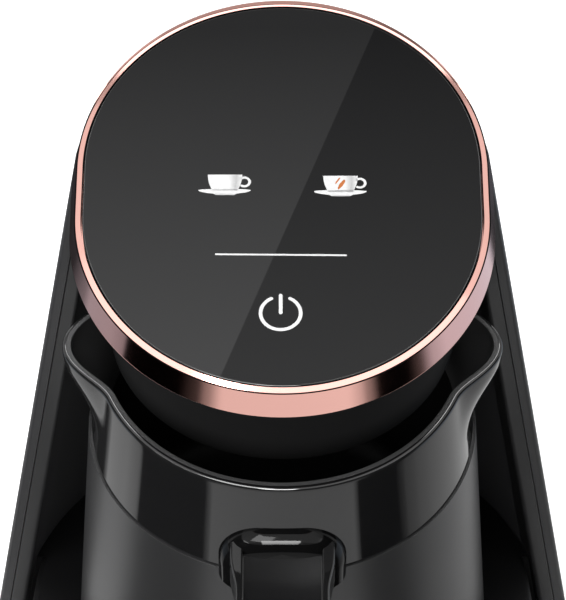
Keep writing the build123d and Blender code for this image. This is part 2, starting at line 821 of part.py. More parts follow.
def steel_cup():
    """The stainless cup that the coffee is brewed in."""
    def radius(z):
        return body_radius(z) - cup_inset
    outside = cone(vessel_floor, flange_level + steel, radius(vessel_floor), radius(flange_level))
    outside = fillet(outside.edges().group_by(Axis.Z)[0], vessel_corner)
    floor = vessel_floor + steel
    inside = cone(floor, flange_level + steel, radius(floor) - steel, radius(flange_level) - steel)
    inside = fillet(inside.edges().group_by(Axis.Z)[0], vessel_corner - steel)
    flange = cone(flange_level, flange_level + steel, flange_radius, flange_radius)
    return outside + flange - inside


def base_boss_places():
    """The three studs of the spreader that the pot's base is screwed to."""
    angles = [radians(a) for a in base_boss_angles]
    return [(base_boss_ring * cos(a), base_boss_ring * sin(a)) for a in angles]


def heat_spreader():
    """The aluminium plate under the cup, with its three threaded studs."""
    foot = vessel_floor - spreader_thick
    plate = cone(foot, vessel_floor, spreader_radius, spreader_radius)
    for x, y in base_boss_places():
        plate += post(x, y, stud_foot, foot + 1, stud_radius)
        plate -= post(x, y, stud_foot - 1, foot - 1, screw_pilot)
    return plate


def heating_element():
    """The tubular element under the spreader, with its two cold ends turned down."""
    z = vessel_floor - spreader_thick - element_tube
    loop = CenterArc((0, 0), element_radius, 110, 320)
    tube = sweep(Plane(origin=loop @ 0, z_dir=loop % 0) * Circle(element_tube), path=loop)
    return level(z) * tube


def thermostat():
    """The safety thermostat under the middle of the spreader."""
    top = vessel_floor - spreader_thick
    can = cone(top - thermostat_height, top, thermostat_radius, thermostat_radius)
    return can + block(0, 0, top - thermostat_height - 2, 12, 3, 2)


def pot_base():
    """The cover that closes the pot from below."""
    low = pot_foot
    top = low + pot_base_height
    cover = cone(low, top, body_radius(low), body_radius(top))
    cover = chamfer(cover.edges().group_by(Axis.Z)[0], 1.2)
    spigot_radius = body_radius(top + 3) - pot_body_wall - fit
    spigot = ring(top, top + 3, spigot_radius, spigot_radius - 1.6)
    cover -= cone(low + 2, top + 4, spigot_radius - 1.6, spigot_radius - 1.6)
    cover += spigot
    cover -= rounded_block(plug_start, 15, plug_width + 1, plug_tall + 1, 2)
    for x, y in base_boss_places():
        cover += post(x, y, low, stud_foot - fit, 3.2)
        cover -= post(x, y, low - 1, stud_foot + 1, screw_pass)
        cover -= post(x, y, low - 1, low + base_screw_sunk + screw_head_thick,
                      screw_head + head_room)
    return cover


def pot_screws():
    """Three screws from below, through the base into the studs of the spreader."""
    low = pot_foot + base_screw_sunk
    return [at(x, y, low) * screw(9) for x, y in base_boss_places()]


def pot_plug():
    """The pot's plug at the back, which pushes into the machine's socket."""
    body = rounded_block(plug_start, plug_front - plug_start, plug_width, plug_tall, 2)
    body = fillet(body.edges().group_by(Axis.Y)[-1], 0.8)
    for x in pin_places():
        body -= rod_y(x, plug_height, plug_start - 1, plug_front + 1, pin_radius)
    return body


def pot_pins():
    end = plug_front + pin_length
    return [rod_y(x, plug_height, plug_start, end, pin_radius) for x in pin_places()]


# ---------------------------------------------------------------- handle
def along_grip(width, low, high, start, foot, corner):
    """A bar along the handle: forward out of the boss, then straight down.

    Low and high are measured outwards from the handle's centre line.
    """
    y = axis_y - handle_reach + grip_thick / 2
    points = [(0, axis_y - start, grip_height), (0, y, grip_height), (0, y, foot)]
    path = FilletPolyline(*points, radius=grip_bend)
    plane = Plane(origin=path @ 0, x_dir=(1, 0, 0), z_dir=(0, -1, 0))
    section = plane * Pos(0, (low + high) / 2) * RectangleRounded(width, high - low, corner)
    return sweep(section, path=path)


def handle_root(grow=0.0):
    """The root of the handle inside the boss: the arm's end and a tongue down behind it."""
    half = grip_thick / 2
    arm_y = -(boss_reach + grip_start) / 2 - 1
    arm = block(0, arm_y, grip_height - half - grow, grip_width + 2 * grow,
                boss_reach - grip_start + 2 + 2 * grow, grip_thick + 2 * grow)
    tongue = block(0, -grip_start - tongue_thick / 2, tongue_foot - grow,
                   tongue_width + 2 * grow, tongue_thick + 2 * grow, grip_height - tongue_foot)
    return arm + tongue


def handle_frame():
    """The handle's channel: a curved back with two side rails."""
    half = grip_thick / 2
    bar = along_grip(grip_width, -half, half, grip_start, grip_foot, grip_round)
    bar = fillet(bar.faces().sort_by(Axis.Z)[0].edges(), grip_end_round)
    sunk = half - inlay_depth - inlay_sunk
    channel = grip_width - 2 * rail_width
    ear_y = -boss_reach - fit - ear_length / 2
    for side in (-1, 1):
        ear_x = side * (grip_width / 2 + ear_stand - ear_width / 2)
        ear = at(ear_x, ear_y, grip_height - half + 1) * Rot(0, 0, 90) * SlotOverall(ear_length, ear_width)
        bar += extrude(ear, amount=grip_thick - 1)
    bar -= along_grip(channel, sunk, half + 1, boss_reach + 1.5, inlay_foot - fit, 0.6)
    bar += block(0, -grip_start - tongue_thick / 2, tongue_foot, tongue_width, tongue_thick,
                 grip_height - tongue_foot)
    for x in (-handle_screw_x, handle_screw_x):
        bar -= rod_y(x, handle_screw_height, -boss_reach + 0.5, -grip_start + 1, screw_pilot)
    return bar


def handle_inlay():
    """The sunk panel between the rails."""
    half = grip_thick / 2
    width = grip_width - 2 * rail_width - 2 * fit
    low = half - inlay_depth - inlay_sunk + 0.05
    return along_grip(width, low, half - inlay_sunk, boss_reach + 1.6, inlay_foot, 0.5)


def handle_screws():
    """Two screws from inside the pot's body into the tongue."""
    start = -handle_screw_seat + screw_head_thick
    places = [at(x, start, handle_screw_height) for x in (-handle_screw_x, handle_screw_x)]
    return [place * Rot(90, 0, 0) * screw(handle_screw_length) for place in places]


PIECES = {
    "outer_shell": outer_shell,
    "inner_shell": inner_shell,
    "base_housing": base_housing,
    "base_plate": base_plate,
    "rubber_feet": rubber_feet,
    "base_screws": base_screws,
    "cord_bushing": cord_bushing,
    "power_board": power_board,
    "board_screws": board_screws,
    "power_relay": power_relay,
    "supply_transformer": supply_transformer,
    "board_parts": board_parts,
    "wire_harness": wire_harness,
    "socket_housing": socket_housing,
    "socket_contacts": socket_contacts,
    "socket_leads": socket_leads,
    "trim_ring": trim_ring,
    "glass_panel": glass_panel,
    "glass_tape": glass_tape,
    "light_guide": light_guide,
    "touch_board": touch_board,
    "touch_board_parts": touch_board_parts,
    "buzzer": buzzer,
    "head_cup": head_cup,
    "head_floor": head_floor,
    "sensor_window": sensor_window,
    "sensor_holder": sensor_holder,
    "head_screws": head_screws,
    "pot_collar": pot_collar,
    "seal_ring": seal_ring,
    "pot_body": pot_body,
    "steel_cup": steel_cup,
    "heat_spreader": heat_spreader,
    "heating_element": heating_element,
    "thermostat": thermostat,
    "pot_screws": pot_screws,
    "pot_base": pot_base,
    "pot_plug": pot_plug,
    "pot_pins": pot_pins,
    "handle_frame": handle_frame,
    "handle_inlay": handle_inlay,
    "handle_screws": handle_screws,
}

os.makedirs("parts", exist_ok=True)
for name, make in PIECES.items():
    made = make()
    shape = Compound(children=made) if isinstance(made, list) else made
    export_step(shape, f"parts/{name}.step")
    print(name, "volume", round(shape.volume, 1))
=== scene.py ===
# %% [markdown]
# # An electric Turkish coffee maker
# The machine is a tilted touch panel over a small electric pot, in a flared casing that is open
# at the front.  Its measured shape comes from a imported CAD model, and this script gives it its
# looks: finer meshes where light shows the form, and a finish for every piece.

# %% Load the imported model
import json
import math

import bmesh
import bpy
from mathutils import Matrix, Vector


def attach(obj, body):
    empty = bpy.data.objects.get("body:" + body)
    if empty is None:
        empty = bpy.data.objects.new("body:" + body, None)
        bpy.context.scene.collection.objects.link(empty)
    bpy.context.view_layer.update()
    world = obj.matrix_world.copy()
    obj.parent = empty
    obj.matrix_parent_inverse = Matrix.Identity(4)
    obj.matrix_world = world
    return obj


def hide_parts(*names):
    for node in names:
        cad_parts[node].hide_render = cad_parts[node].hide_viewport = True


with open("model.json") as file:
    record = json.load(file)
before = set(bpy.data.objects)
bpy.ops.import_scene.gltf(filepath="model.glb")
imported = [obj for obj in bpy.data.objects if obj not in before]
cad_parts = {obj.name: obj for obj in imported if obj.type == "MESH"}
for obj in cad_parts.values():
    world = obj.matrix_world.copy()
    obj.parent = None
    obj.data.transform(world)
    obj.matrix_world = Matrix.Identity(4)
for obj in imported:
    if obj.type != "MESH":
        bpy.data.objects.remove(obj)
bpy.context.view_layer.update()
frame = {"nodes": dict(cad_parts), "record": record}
print("CAD nodes:", len(frame["nodes"]))

# %% [markdown]
# ## Units and places
# The drawing is made in millimetres, but Blender works in metres, so one factor turns the one
# into the other.  Most round pieces stand on the pot's own axis, a little behind the middle of
# the machine.  The panel leans forward, so a second set of axes lies in its face, and a depth is
# counted down from there.

# %% Units, the pot's axis and the panel's plane
MM = 0.001
AXIS_Y = 1.074
PANEL_HEIGHT = 190.0
PANEL_TILT = math.radians(5.5)
PANEL_BACK = Vector((0, math.cos(PANEL_TILT), math.sin(PANEL_TILT)))
PANEL_UP = Vector((0, -math.sin(PANEL_TILT), math.cos(PANEL_TILT)))


def round_axis(radius, angle, height):
    """A point round the pot's axis; the angle counts from the right, in radians."""
    x, y = radius * math.cos(angle), radius * math.sin(angle)
    return Vector((x, AXIS_Y + y, height))


def on_panel(x, y, depth=0.0):
    """A point in the panel's own axes, at a depth under its face."""
    middle = Vector((0, AXIS_Y, PANEL_HEIGHT))
    return middle + Vector((x, 0, 0)) + PANEL_BACK * y - PANEL_UP * depth


def linked(name, data):
    """A new object in the scene, from its data."""
    made = bpy.data.objects.new(name, data)
    bpy.context.collection.objects.link(made)
    return made


print("panel's front edge:", on_panel(0, -50.5))

# %% [markdown]
# ## The camera
# Product pictures of small appliances are taken with a long lens, because a short one makes the
# near end swell.  This one looks down at 48 degrees, which shows the touch panel nearly face on
# and leaves room for the pot below it.

# %% Camera
LOOK_DOWN = math.radians(48.05)
lens = bpy.data.cameras.new("long_lens")
lens.lens = 210.0
lens.sensor_width = 36.0
lens.shift_x = 0.001
lens.clip_start = 0.05
camera = linked("camera", lens)
camera.location = (0.0, -0.5066, 0.7202)
camera.rotation_euler = (math.radians(90.0) - LOOK_DOWN, 0.0, 0.0)
bpy.context.scene.camera = camera
print("camera stands", round(camera.location.length, 3), "m from the origin")

# %% [markdown]
# ## Shader sums as plain Python
# A finish in Blender is a web of nodes.  One small class stands for a socket of it.  A sum
# written with it adds the Math nodes by itself, and one method adds any other node: its kind,
# its settings, then what goes into its sockets.

# %% One class for sockets
class Wire:
    """An output socket in a finish.  Sums on it add Math nodes."""

    def __init__(self, tree, socket=None):
        self.tree = tree
        self.socket = socket

    def node(self, kind, settings=None, inputs=None, output=0):
        made = self.tree.nodes.new("ShaderNode" + kind)
        for name, value in (settings or {}).items():
            setattr(made, name, value)
        for name, value in (inputs or {}).items():
            if isinstance(value, Wire):
                self.tree.links.new(value.socket, made.inputs[name])
            else:
                made.inputs[name].default_value = value
        return Wire(self.tree, made.outputs[output] if made.outputs else None)

    def math(self, operation, left, right):
        return self.node("Math", {"operation": operation}, {0: left, 1: right})

    def __add__(self, other):
        return self.math("ADD", self, other)

    def __sub__(self, other):
        return self.math("SUBTRACT", self, other)

    def __rsub__(self, other):
        return self.math("SUBTRACT", other, self)

    def __mul__(self, other):
        return self.math("MULTIPLY", self, other)

    __radd__ = __add__
    __rmul__ = __mul__

    def clamped(self):
        return self.math("MINIMUM", self.math("MAXIMUM", self, 0.0), 1.0)

    def mixed(self, low, high):
        """A colour between two, by this socket's value; 6 and 7 are the sockets for colours."""
        return self.node("Mix", {"data_type": "RGBA"}, {0: self, 6: low, 7: high}, output=2)


def new_finish(name):
    """An empty finish, as a wire to build on."""
    finish = bpy.data.materials.new(name)
    finish.use_nodes = True
    finish.node_tree.nodes.clear()
    return finish, Wire(finish.node_tree)


print("socket class ready")

# %% [markdown]
# ## Floor, world and light
# The machine stands on a plain white sheet.  The sheet and the world are white where the camera
# sees them, while the light that they give to the object stays at a plain level.  That keeps a
# white background without washing out the dark plastic.

# %% World
AMBIENT = 0.42
world = bpy.data.worlds.new("studio")
world.use_nodes = True
world.node_tree.nodes.clear()
sky = Wire(world.node_tree)


def ray_is(wire, *kinds):
    """One where a ray is of one of these kinds, and nought elsewhere."""
    path = wire.node("LightPath").socket.node
    return sum(Wire(wire.tree, path.outputs[kind]) for kind in kinds).clamped()


CAMERA, MIRROR, CLEAR = "Is Camera Ray", "Is Glossy Ray", "Is Transmission Ray"
level = AMBIENT + (1.0 - AMBIENT) * ray_is(sky, CAMERA, MIRROR, CLEAR)
background = sky.node("Background", inputs={"Color": (1, 1, 1, 1), "Strength": level})
sky.node("OutputWorld", inputs={"Surface": background})
bpy.context.scene.world = world
bpy.context.scene.view_settings.view_transform = "Standard"
print("world made")

# %% Floor
FLOOR_HALF = 3.0
FLOOR_GLOW = 0.72
MIRROR_GLOW = 0.33
finish, wire = new_finish("white_sheet")
paper = wire.node("TexNoise", inputs={"Scale": 900.0, "Detail": 2.0})
tone = paper.mixed((0.70, 0.70, 0.70, 1), (0.74, 0.74, 0.74, 1))
sheet = wire.node("BsdfDiffuse", inputs={"Color": tone})
strength = FLOOR_GLOW * ray_is(wire, CAMERA) + MIRROR_GLOW * ray_is(wire, MIRROR, CLEAR)
glow = wire.node("Emission", inputs={"Color": (1, 1, 1, 1), "Strength": strength})
wire.node("OutputMaterial", inputs={"Surface": wire.node("AddShader", inputs={0: sheet, 1: glow})})
corners = [(-1, -1), (1, -1), (1, 1), (-1, 1)]
mesh = bpy.data.meshes.new("floor")
mesh.from_pydata([(x * FLOOR_HALF, y * FLOOR_HALF, 0.0) for x, y in corners], [], [(0, 1, 2, 3)])
mesh.materials.append(finish)
floor = linked("floor", mesh)
print("floor laid")

# %% [markdown]
# ## Soft boxes and flags
# Glossy black plastic has almost no colour of its own, so what it mirrors draws its shape.  Soft
# boxes light the object, and the cards round it show in mirrors alone.  Those overhead give the
# glass its paler side and draw the bright lines on rounded edges.  A sheet on the floor is dark
# to the left and right of the front, which draws the dark bands on the ring and on the pot.

# %% Lamps
def soft_box(name, place, target, size, power):
    """A square soft box at a place, turned to a target, both in metres."""
    lamp = bpy.data.lights.new(name, "AREA")
    lamp.shape = "RECTANGLE"
    lamp.size, lamp.size_y = size
    lamp.energy = power
    holder = linked(name, lamp)
    holder.location = place
    aim = Vector(target) - Vector(place)
    holder.rotation_euler = aim.to_track_quat("-Z", "Y").to_euler()
    holder.visible_camera = False
    return holder


MIDDLE = (0.0, 0.0, 0.12)
overhead = soft_box("overhead", (0.0, -0.02, 1.15), MIDDLE, (0.30, 0.22), 4.0)
overhead.visible_glossy = False
soft_box("from_the_left", (-0.95, -0.55, 0.75), MIDDLE, (0.5, 0.6), 9.0)
soft_box("from_the_right", (1.0, -0.35, 0.6), MIDDLE, (0.4, 0.6), 0.7)
print("three soft boxes")


# %% Cards that only mirrors see
def colour_points(mesh, name, colours):
    """Writes a layer with a colour for each point of a mesh."""
    layer = mesh.color_attributes.new(name, "FLOAT_COLOR", "POINT")
    for colour, point in zip(colours, layer.data):
        point.color = colour


def mirror_card(name, corners, glows, faces):
    """A flat card, in metres, that shows only in reflections; each corner has its own glow."""
    finish, wire = new_finish(name)
    glow = wire.node("Attribute", {"attribute_name": "glow"})
    light = wire.node("Emission", inputs={"Color": glow, "Strength": 1.0})
    wire.node("OutputMaterial", inputs={"Surface": light})
    mesh = bpy.data.meshes.new(name)
    mesh.from_pydata(corners, [], faces)
    mesh.materials.append(finish)
    colour_points(mesh, "glow", [(*glow, 1.0) for glow in glows])
    card = linked(name, mesh)
    card.visible_camera = False
    card.visible_diffuse = False
    card.visible_transmission = False
    card.visible_shadow = False


def grid_faces(columns, rows):
    """Four-cornered faces over points that are listed column by column."""
    return [(c * rows + r, c * rows + r + 1, (c + 1) * rows + r + 1, (c + 1) * rows + r)
            for c in range(columns - 1) for r in range(rows - 1)]


# %% A shaded sheet on the floor
SHEET_RADII = (0.082, 0.205, 0.235, 0.75)
SHEET_LIFT = 0.0008
PLAIN, COOL = (1.0, 1.0, 1.0), (1.0, 1.14, 1.32)
COOL_FROM = 70
# Each stop: a bearing from the front in degrees, then how bright the near and the far band are.
SHEET_STOPS = [
    (-180, 0.02, 0.03), (-150, 0.02, 0.03), (-130, 0.02, 0.03), (-114, 0.02, 0.2),
    (-109, 0.76, 0.40), (-92, 0.92, 0.40), (-82, 0.66, 0.30), (-80, 0.0, 0.0), (-50, 0.0, 0.0),
    (-40.5, 0.0, 0.05), (-36.5, 1.05, 0.3), (-28.5, 1.05, 0.92), (0, 1.0, 0.95), (30, 0.96, 1.0),
    (37, 0.96, 0.7), (40, 0.0, 0.35), (46, 0.0, 0.0), (62, 0.0, 0.0), (68, 0.32, 0.06),
    (76, 0.50, 0.52), (85, 0.60, 0.70), (112, 0.78, 0.72), (127, 1.0, 0.72), (132, 0.05, 0.6),
    (140, 0.02, 0.08), (180, 0.02, 0.03)]
corners, glows = [], []
for bearing, near, far in SHEET_STOPS:
    turn = math.radians(bearing)
    tint = COOL if abs(bearing) > COOL_FROM else PLAIN
    bands = [(near, PLAIN), (near, PLAIN), (far, tint), (far, tint)]
    for radius, (level, shares) in zip(SHEET_RADII, bands):
        corners.append((radius * math.sin(turn), -radius * math.cos(turn), SHEET_LIFT))
        glows.append([level * share for share in shares])
faces = grid_faces(len(SHEET_STOPS), len(SHEET_RADII))
mirror_card("shaded_sheet", corners, glows, faces)
print("shaded sheet:", len(faces), "fields")

# %% Cards overhead
CARD_HEIGHT = 0.8
BEVEL_GLOW = 1.95


def overhead_card(name, rows, height=CARD_HEIGHT):
    """Rows of (x, y, glow) points, each row as long as the others."""
    points = [point for column in zip(*rows) for point in column]
    mirror_card(name, [(x, y, height) for x, y, _ in points],
                [[glow] * 3 for _, _, glow in points], grid_faces(len(rows[0]), len(rows)))


def even_card(name, corners, glow, height=CARD_HEIGHT):
    """Four (x, y) corners of one glow, in two rows."""
    points = [(x, y, glow) for x, y in corners]
    overhead_card(name, [points[:2], points[2:]], height)


LEFT_ROWS = [(0.16, (1.6, 1.9, 2.3, 2.3)), (0.305, (1.5, 1.6, 1.75, 1.75)),
             (0.476, (1.5, 0.8, 0.5, 0.5)), (1.2, (1.4, 0.5, 0.4, 0.4))]
RIGHT_ROWS = [(0.16, (1.2, 1.2, 1.2, 1.2)), (0.305, (0.9, 0.9, 1.1, 1.1)),
              (0.476, (0.22, 0.22, 1.0, 1.1)), (1.2, (0.2, 0.2, 0.8, 1.1))]
# Where the left card meets the right one, and the middle of the right one, for each row.
SEAM = (-0.079, -0.0246, 0.0397, 0.32)
RIGHT_MIDDLE = ((0.12, 0.2), (0.12, 0.2), (0.12, 0.2), (0.33, 0.5))
overhead_card("glass_card_left", [
    [(x, y, glow) for x, glow in zip((-1.2, -0.15, -0.12, seam), levels)]
    for seam, (y, levels) in zip(SEAM, LEFT_ROWS)])
overhead_card("glass_card_right", [
    [(x, y, glow) for x, glow in zip((seam, *middle, 1.2), levels)]
    for seam, middle, (y, levels) in zip(SEAM, RIGHT_MIDDLE, RIGHT_ROWS)])
for side, edge_glow in ((-1, 1.6), (1, 1.1)):
    overhead_card("bevel_card", [
        [(side * 0.2, y, BEVEL_GLOW), (side * 0.45, y, middle_glow), (side * 1.2, y, edge_glow)]
        for y, middle_glow in ((-0.13, 1.9), (0.16, 1.8))])
even_card("front_card", [(x, y) for y in (-0.8, -0.13) for x in (-1.2, 1.2)], BEVEL_GLOW)
print("cards overhead at", CARD_HEIGHT, "m")

# %% Bright strips for the lines on rounded edges
STRIP_HEIGHT, CRESCENT_HEIGHT = 0.78, 0.6
STRIP_GLOW = 12.0
PATCH_GLOW = 14.0
even_card("patch_card", [(-0.08, -0.80), (-0.03, -0.34), (-0.60, -0.50), (-0.18, -0.15)],
          PATCH_GLOW, STRIP_HEIGHT)
OUTER_ARC = [(0.02, 0.06), (0.16, 0.09), (0.28, 0.29), (0.34, 0.58)]
INNER_ARC = [(0.02, 0.16), (0.10, 0.19), (0.20, 0.34), (0.26, 0.60)]
for side in (-1, 1):
    rows = [[(side * x, y, STRIP_GLOW) for x, y in line] for line in (OUTER_ARC, INNER_ARC)]
    overhead_card("rim_strip", rows, STRIP_HEIGHT - 0.01)
overhead_card("crescent_strip", [[(x, y, glow) for x in (-0.13, 0.08)]
                                 for y, glow in ((-0.82, 18.0), (-0.46, 45.0))],
              CRESCENT_HEIGHT)
print("strips at", STRIP_HEIGHT, "and", CRESCENT_HEIGHT, "m")

# %% Dark flag in front and a card behind
FLAG_RADIUS, FLAG_HEIGHT, FLAG_GLOW = 0.85, 0.6, 0.02
FLAG_HALF = 105
FLAG_COLUMNS = 31
BACK_CARD_Y, BACK_CARD_HALF = 1.3, 0.9
corners = []
for step in range(FLAG_COLUMNS):
    turn = math.radians(FLAG_HALF * (step / 15 - 1))
    across, forward = FLAG_RADIUS * math.sin(turn), -FLAG_RADIUS * math.cos(turn)
    corners += [(across, forward, 0.001), (across, forward, FLAG_HEIGHT)]
glows = [[FLAG_GLOW] * 3] * len(corners)
mirror_card("front_flag", corners, glows, grid_faces(FLAG_COLUMNS, 2))
sides = (-BACK_CARD_HALF, BACK_CARD_HALF)
corners = [(x, BACK_CARD_Y, z) for x in sides for z in (0.3, 0.7, 0.7, 0.95)]
glows = [[level] * 3 for level in (2.6, 2.6, 0.55, 0.55)] * 2
mirror_card("back_card", corners, glows, grid_faces(2, 4))
print("flag and back card stand")

# %% [markdown]
# ## Plastic, matt and glossy
# A moulded part takes its surface from the steel mould.  A spark-eroded mould leaves a fine
# grain, which shows as soft light, and a polished one leaves the part glossy with a faint
# waviness.  Both are noise: fine noise tips the surface, broad noise varies tone and gloss.

# %% Base of every finish
def grey(value):
    return (value, value, value, 1.0)


def shifted(colour, factor):
    return tuple(min(1.0, c * factor) for c in colour) + (1.0,)


def toned(wire, colour, low, high):
    """A colour that turns from darker to paler with a socket's value."""
    return wire.mixed(shifted(colour, low), shifted(colour, high))


def surface(wire, **sockets):
    """The Principled shader and the output, from sockets named as in Blender."""
    named = {name.replace("_", " "): value for name, value in sockets.items()}
    shader = wire.node("BsdfPrincipled", inputs=named)
    wire.node("OutputMaterial", inputs={"Surface": shader})


def place_in(wire, stretch=(1, 1, 1)):
    """Object coordinates in metres, stretched along some axes."""
    there = wire.node("TexCoord", output=3)
    return wire.node("VectorMath", {"operation": "MULTIPLY"}, {0: there, 1: stretch})


def noise(wire, scale, detail=2.0, stretch=(1, 1, 1)):
    """Noise with a given number of lumps to the metre."""
    where = place_in(wire, stretch)
    return wire.node("TexNoise", inputs={"Vector": where, "Scale": scale, "Detail": detail})


def bumped(wire, height, depth, strength=0.6):
    """A normal tipped by a height; depth in metres."""
    return wire.node("Bump", inputs={"Height": height, "Distance": depth, "Strength": strength})


# %% Plastics
GRAIN = 2200.0
# Painted shade on the head's cup: the height where its darkening starts, and how fast it falls to
# near black.
PAINTED_SHADE_FOOT, PAINTED_SHADE_STEEPNESS = 0.1475, 105.0


def moulded(name, colour, rough, depth=0.00003, specular=0.5):
    """Matt or satin plastic with the grain of its mould."""
    finish, wire = new_finish(name)
    fine = noise(wire, GRAIN, 3.0)
    broad = noise(wire, 30.0, 3.0)
    tone = toned(broad, colour, 0.9, 1.1)
    roughness = (rough + 0.08 * (broad - 0.5) + 0.06 * (fine - 0.5)).clamped()
    surface(wire, Base_Color=tone, Roughness=roughness, Specular_IOR_Level=specular,
            Normal=bumped(wire, fine, depth))
    return finish


def glossy(name, colour, rough, specular=0.5):
    """Polished plastic: nearly a mirror, with the faint waviness of a thick moulding."""
    finish, wire = new_finish(name)
    broad = noise(wire, 90.0, 1.0)
    smear = noise(wire, 45.0, 4.0)
    tone = toned(broad, colour, 0.92, 1.08)
    roughness = (rough + 0.035 * smear).clamped()
    surface(wire, Base_Color=tone, Roughness=roughness, Specular_IOR_Level=specular,
            Normal=bumped(wire, broad, 0.00002, 0.25))
    return finish


def head_plastic_painted_shade(name, colour, rough):
    """Matt black plastic, with painted shade that darkens it still more towards its foot."""
    finish, wire = new_finish(name)
    fine = noise(wire, GRAIN, 3.0)
    height = wire.node("SeparateXYZ", inputs={0: place_in(wire)}, output=2)
    # Painted shade: below that height the colour falls to near black.
    fade = ((height - PAINTED_SHADE_FOOT) * PAINTED_SHADE_STEEPNESS).clamped()
    tone = fade.mixed(shifted(colour, 0.08), toned(fine * fade, colour, 0.9, 1.1))
    surface(wire, Base_Color=tone, Roughness=(rough + 0.06 * (fine - 0.5)).clamped(),
            Specular_IOR_Level=0.03, Normal=bumped(wire, fine, 0.00003))
    return finish


def rubber(name, colour):
    """Soft rubber: no gloss, with a dusty tone in its pores."""
    finish, wire = new_finish(name)
    fine = noise(wire, 3000.0, 4.0)
    pores = wire.node("ValToRGB", inputs={"Fac": fine})
    stops = pores.socket.node.color_ramp.elements
    stops[0].position, stops[1].position = 0.45, 0.62
    tone = toned(pores, colour, 0.85, 1.35)
    surface(wire, Base_Color=tone, Roughness=0.86 - 0.1 * fine, Specular_IOR_Level=0.3,
            Normal=bumped(wire, fine, 0.00004))
    return finish


print("plastic recipes ready")

# %% [markdown]
# ## Metals
# The ring round the panel is plated a warm copper and buffed, so very fine lines run round it.
# Lines round an upright axis come from noise that is squeezed along the height and drawn out
# sideways.  The other metals are cut or cast and only slightly mottled.

# %% Metals
def turned(name, colour, rough):
    """Metal with fine lines round its upright axis."""
    finish, wire = new_finish(name)
    streak = noise(wire, 9000.0, 2.0, (0.02, 0.02, 1.0))
    cloud = noise(wire, 60.0, 3.0)
    tone = toned(cloud, colour, 0.96, 1.03)
    roughness = (rough + 0.05 * (streak - 0.5) + 0.05 * (cloud - 0.5)).clamped()
    surface(wire, Base_Color=tone, Metallic=1.0, Roughness=roughness,
            Normal=bumped(wire, streak, 0.000008, 0.4))
    return finish


def plain_metal(name, colour, rough):
    """Cut or cast metal with a slight mottle."""
    finish, wire = new_finish(name)
    mottle = noise(wire, 700.0, 4.0)
    tone = toned(mottle, colour, 0.85, 1.08)
    surface(wire, Base_Color=tone, Metallic=1.0, Roughness=(rough + 0.15 * mottle).clamped(),
            Normal=bumped(wire, mottle, 0.00002))
    return finish


print("metal recipes ready")

# %% [markdown]
# ## Circuit boards and black glass
# The boards are hidden, but each still gets a finish: green lacquer with paler tracks.  The
# touch panel is clear glass printed black on its back, so from outside it is one deep black
# surface with the gloss of glass and the odd faint smear.

# %% Board and glass
def circuit(name, colour):
    """Green lacquer over copper tracks."""
    finish, wire = new_finish(name)
    inputs = {"Vector": place_in(wire), "Scale": 110.0}
    cells = wire.node("TexBrick", {"offset": 0.5}, inputs, output=1)
    tone = toned(cells, colour, 0.9, 1.7)
    surface(wire, Base_Color=tone, Roughness=0.38 + 0.1 * cells,
            Normal=bumped(wire, cells, 0.00003))
    return finish


def black_glass(name, colour, rough):
    """Glass printed black on its back."""
    finish, wire = new_finish(name)
    smear = noise(wire, 35.0, 5.0)
    tone = toned(smear, colour, 0.9, 1.1)
    surface(wire, Base_Color=tone, Roughness=(rough + 0.01 * smear).clamped(), IOR=1.5,
            Specular_IOR_Level=0.42)
    return finish


print("board and glass recipes ready")

# %% [markdown]
# ## One finish for each slot of the record
# The record names a material slot for each node.  Here each slot gets its own finish, in the
# colour that the piece has: greys so dark that their gloss shows more than their colour.  Three
# more finishes are for faces inside a piece: the ring's groove, and the collar and the bay, whose
# insides are painted paler than their plastic, as painted light where little light reaches.

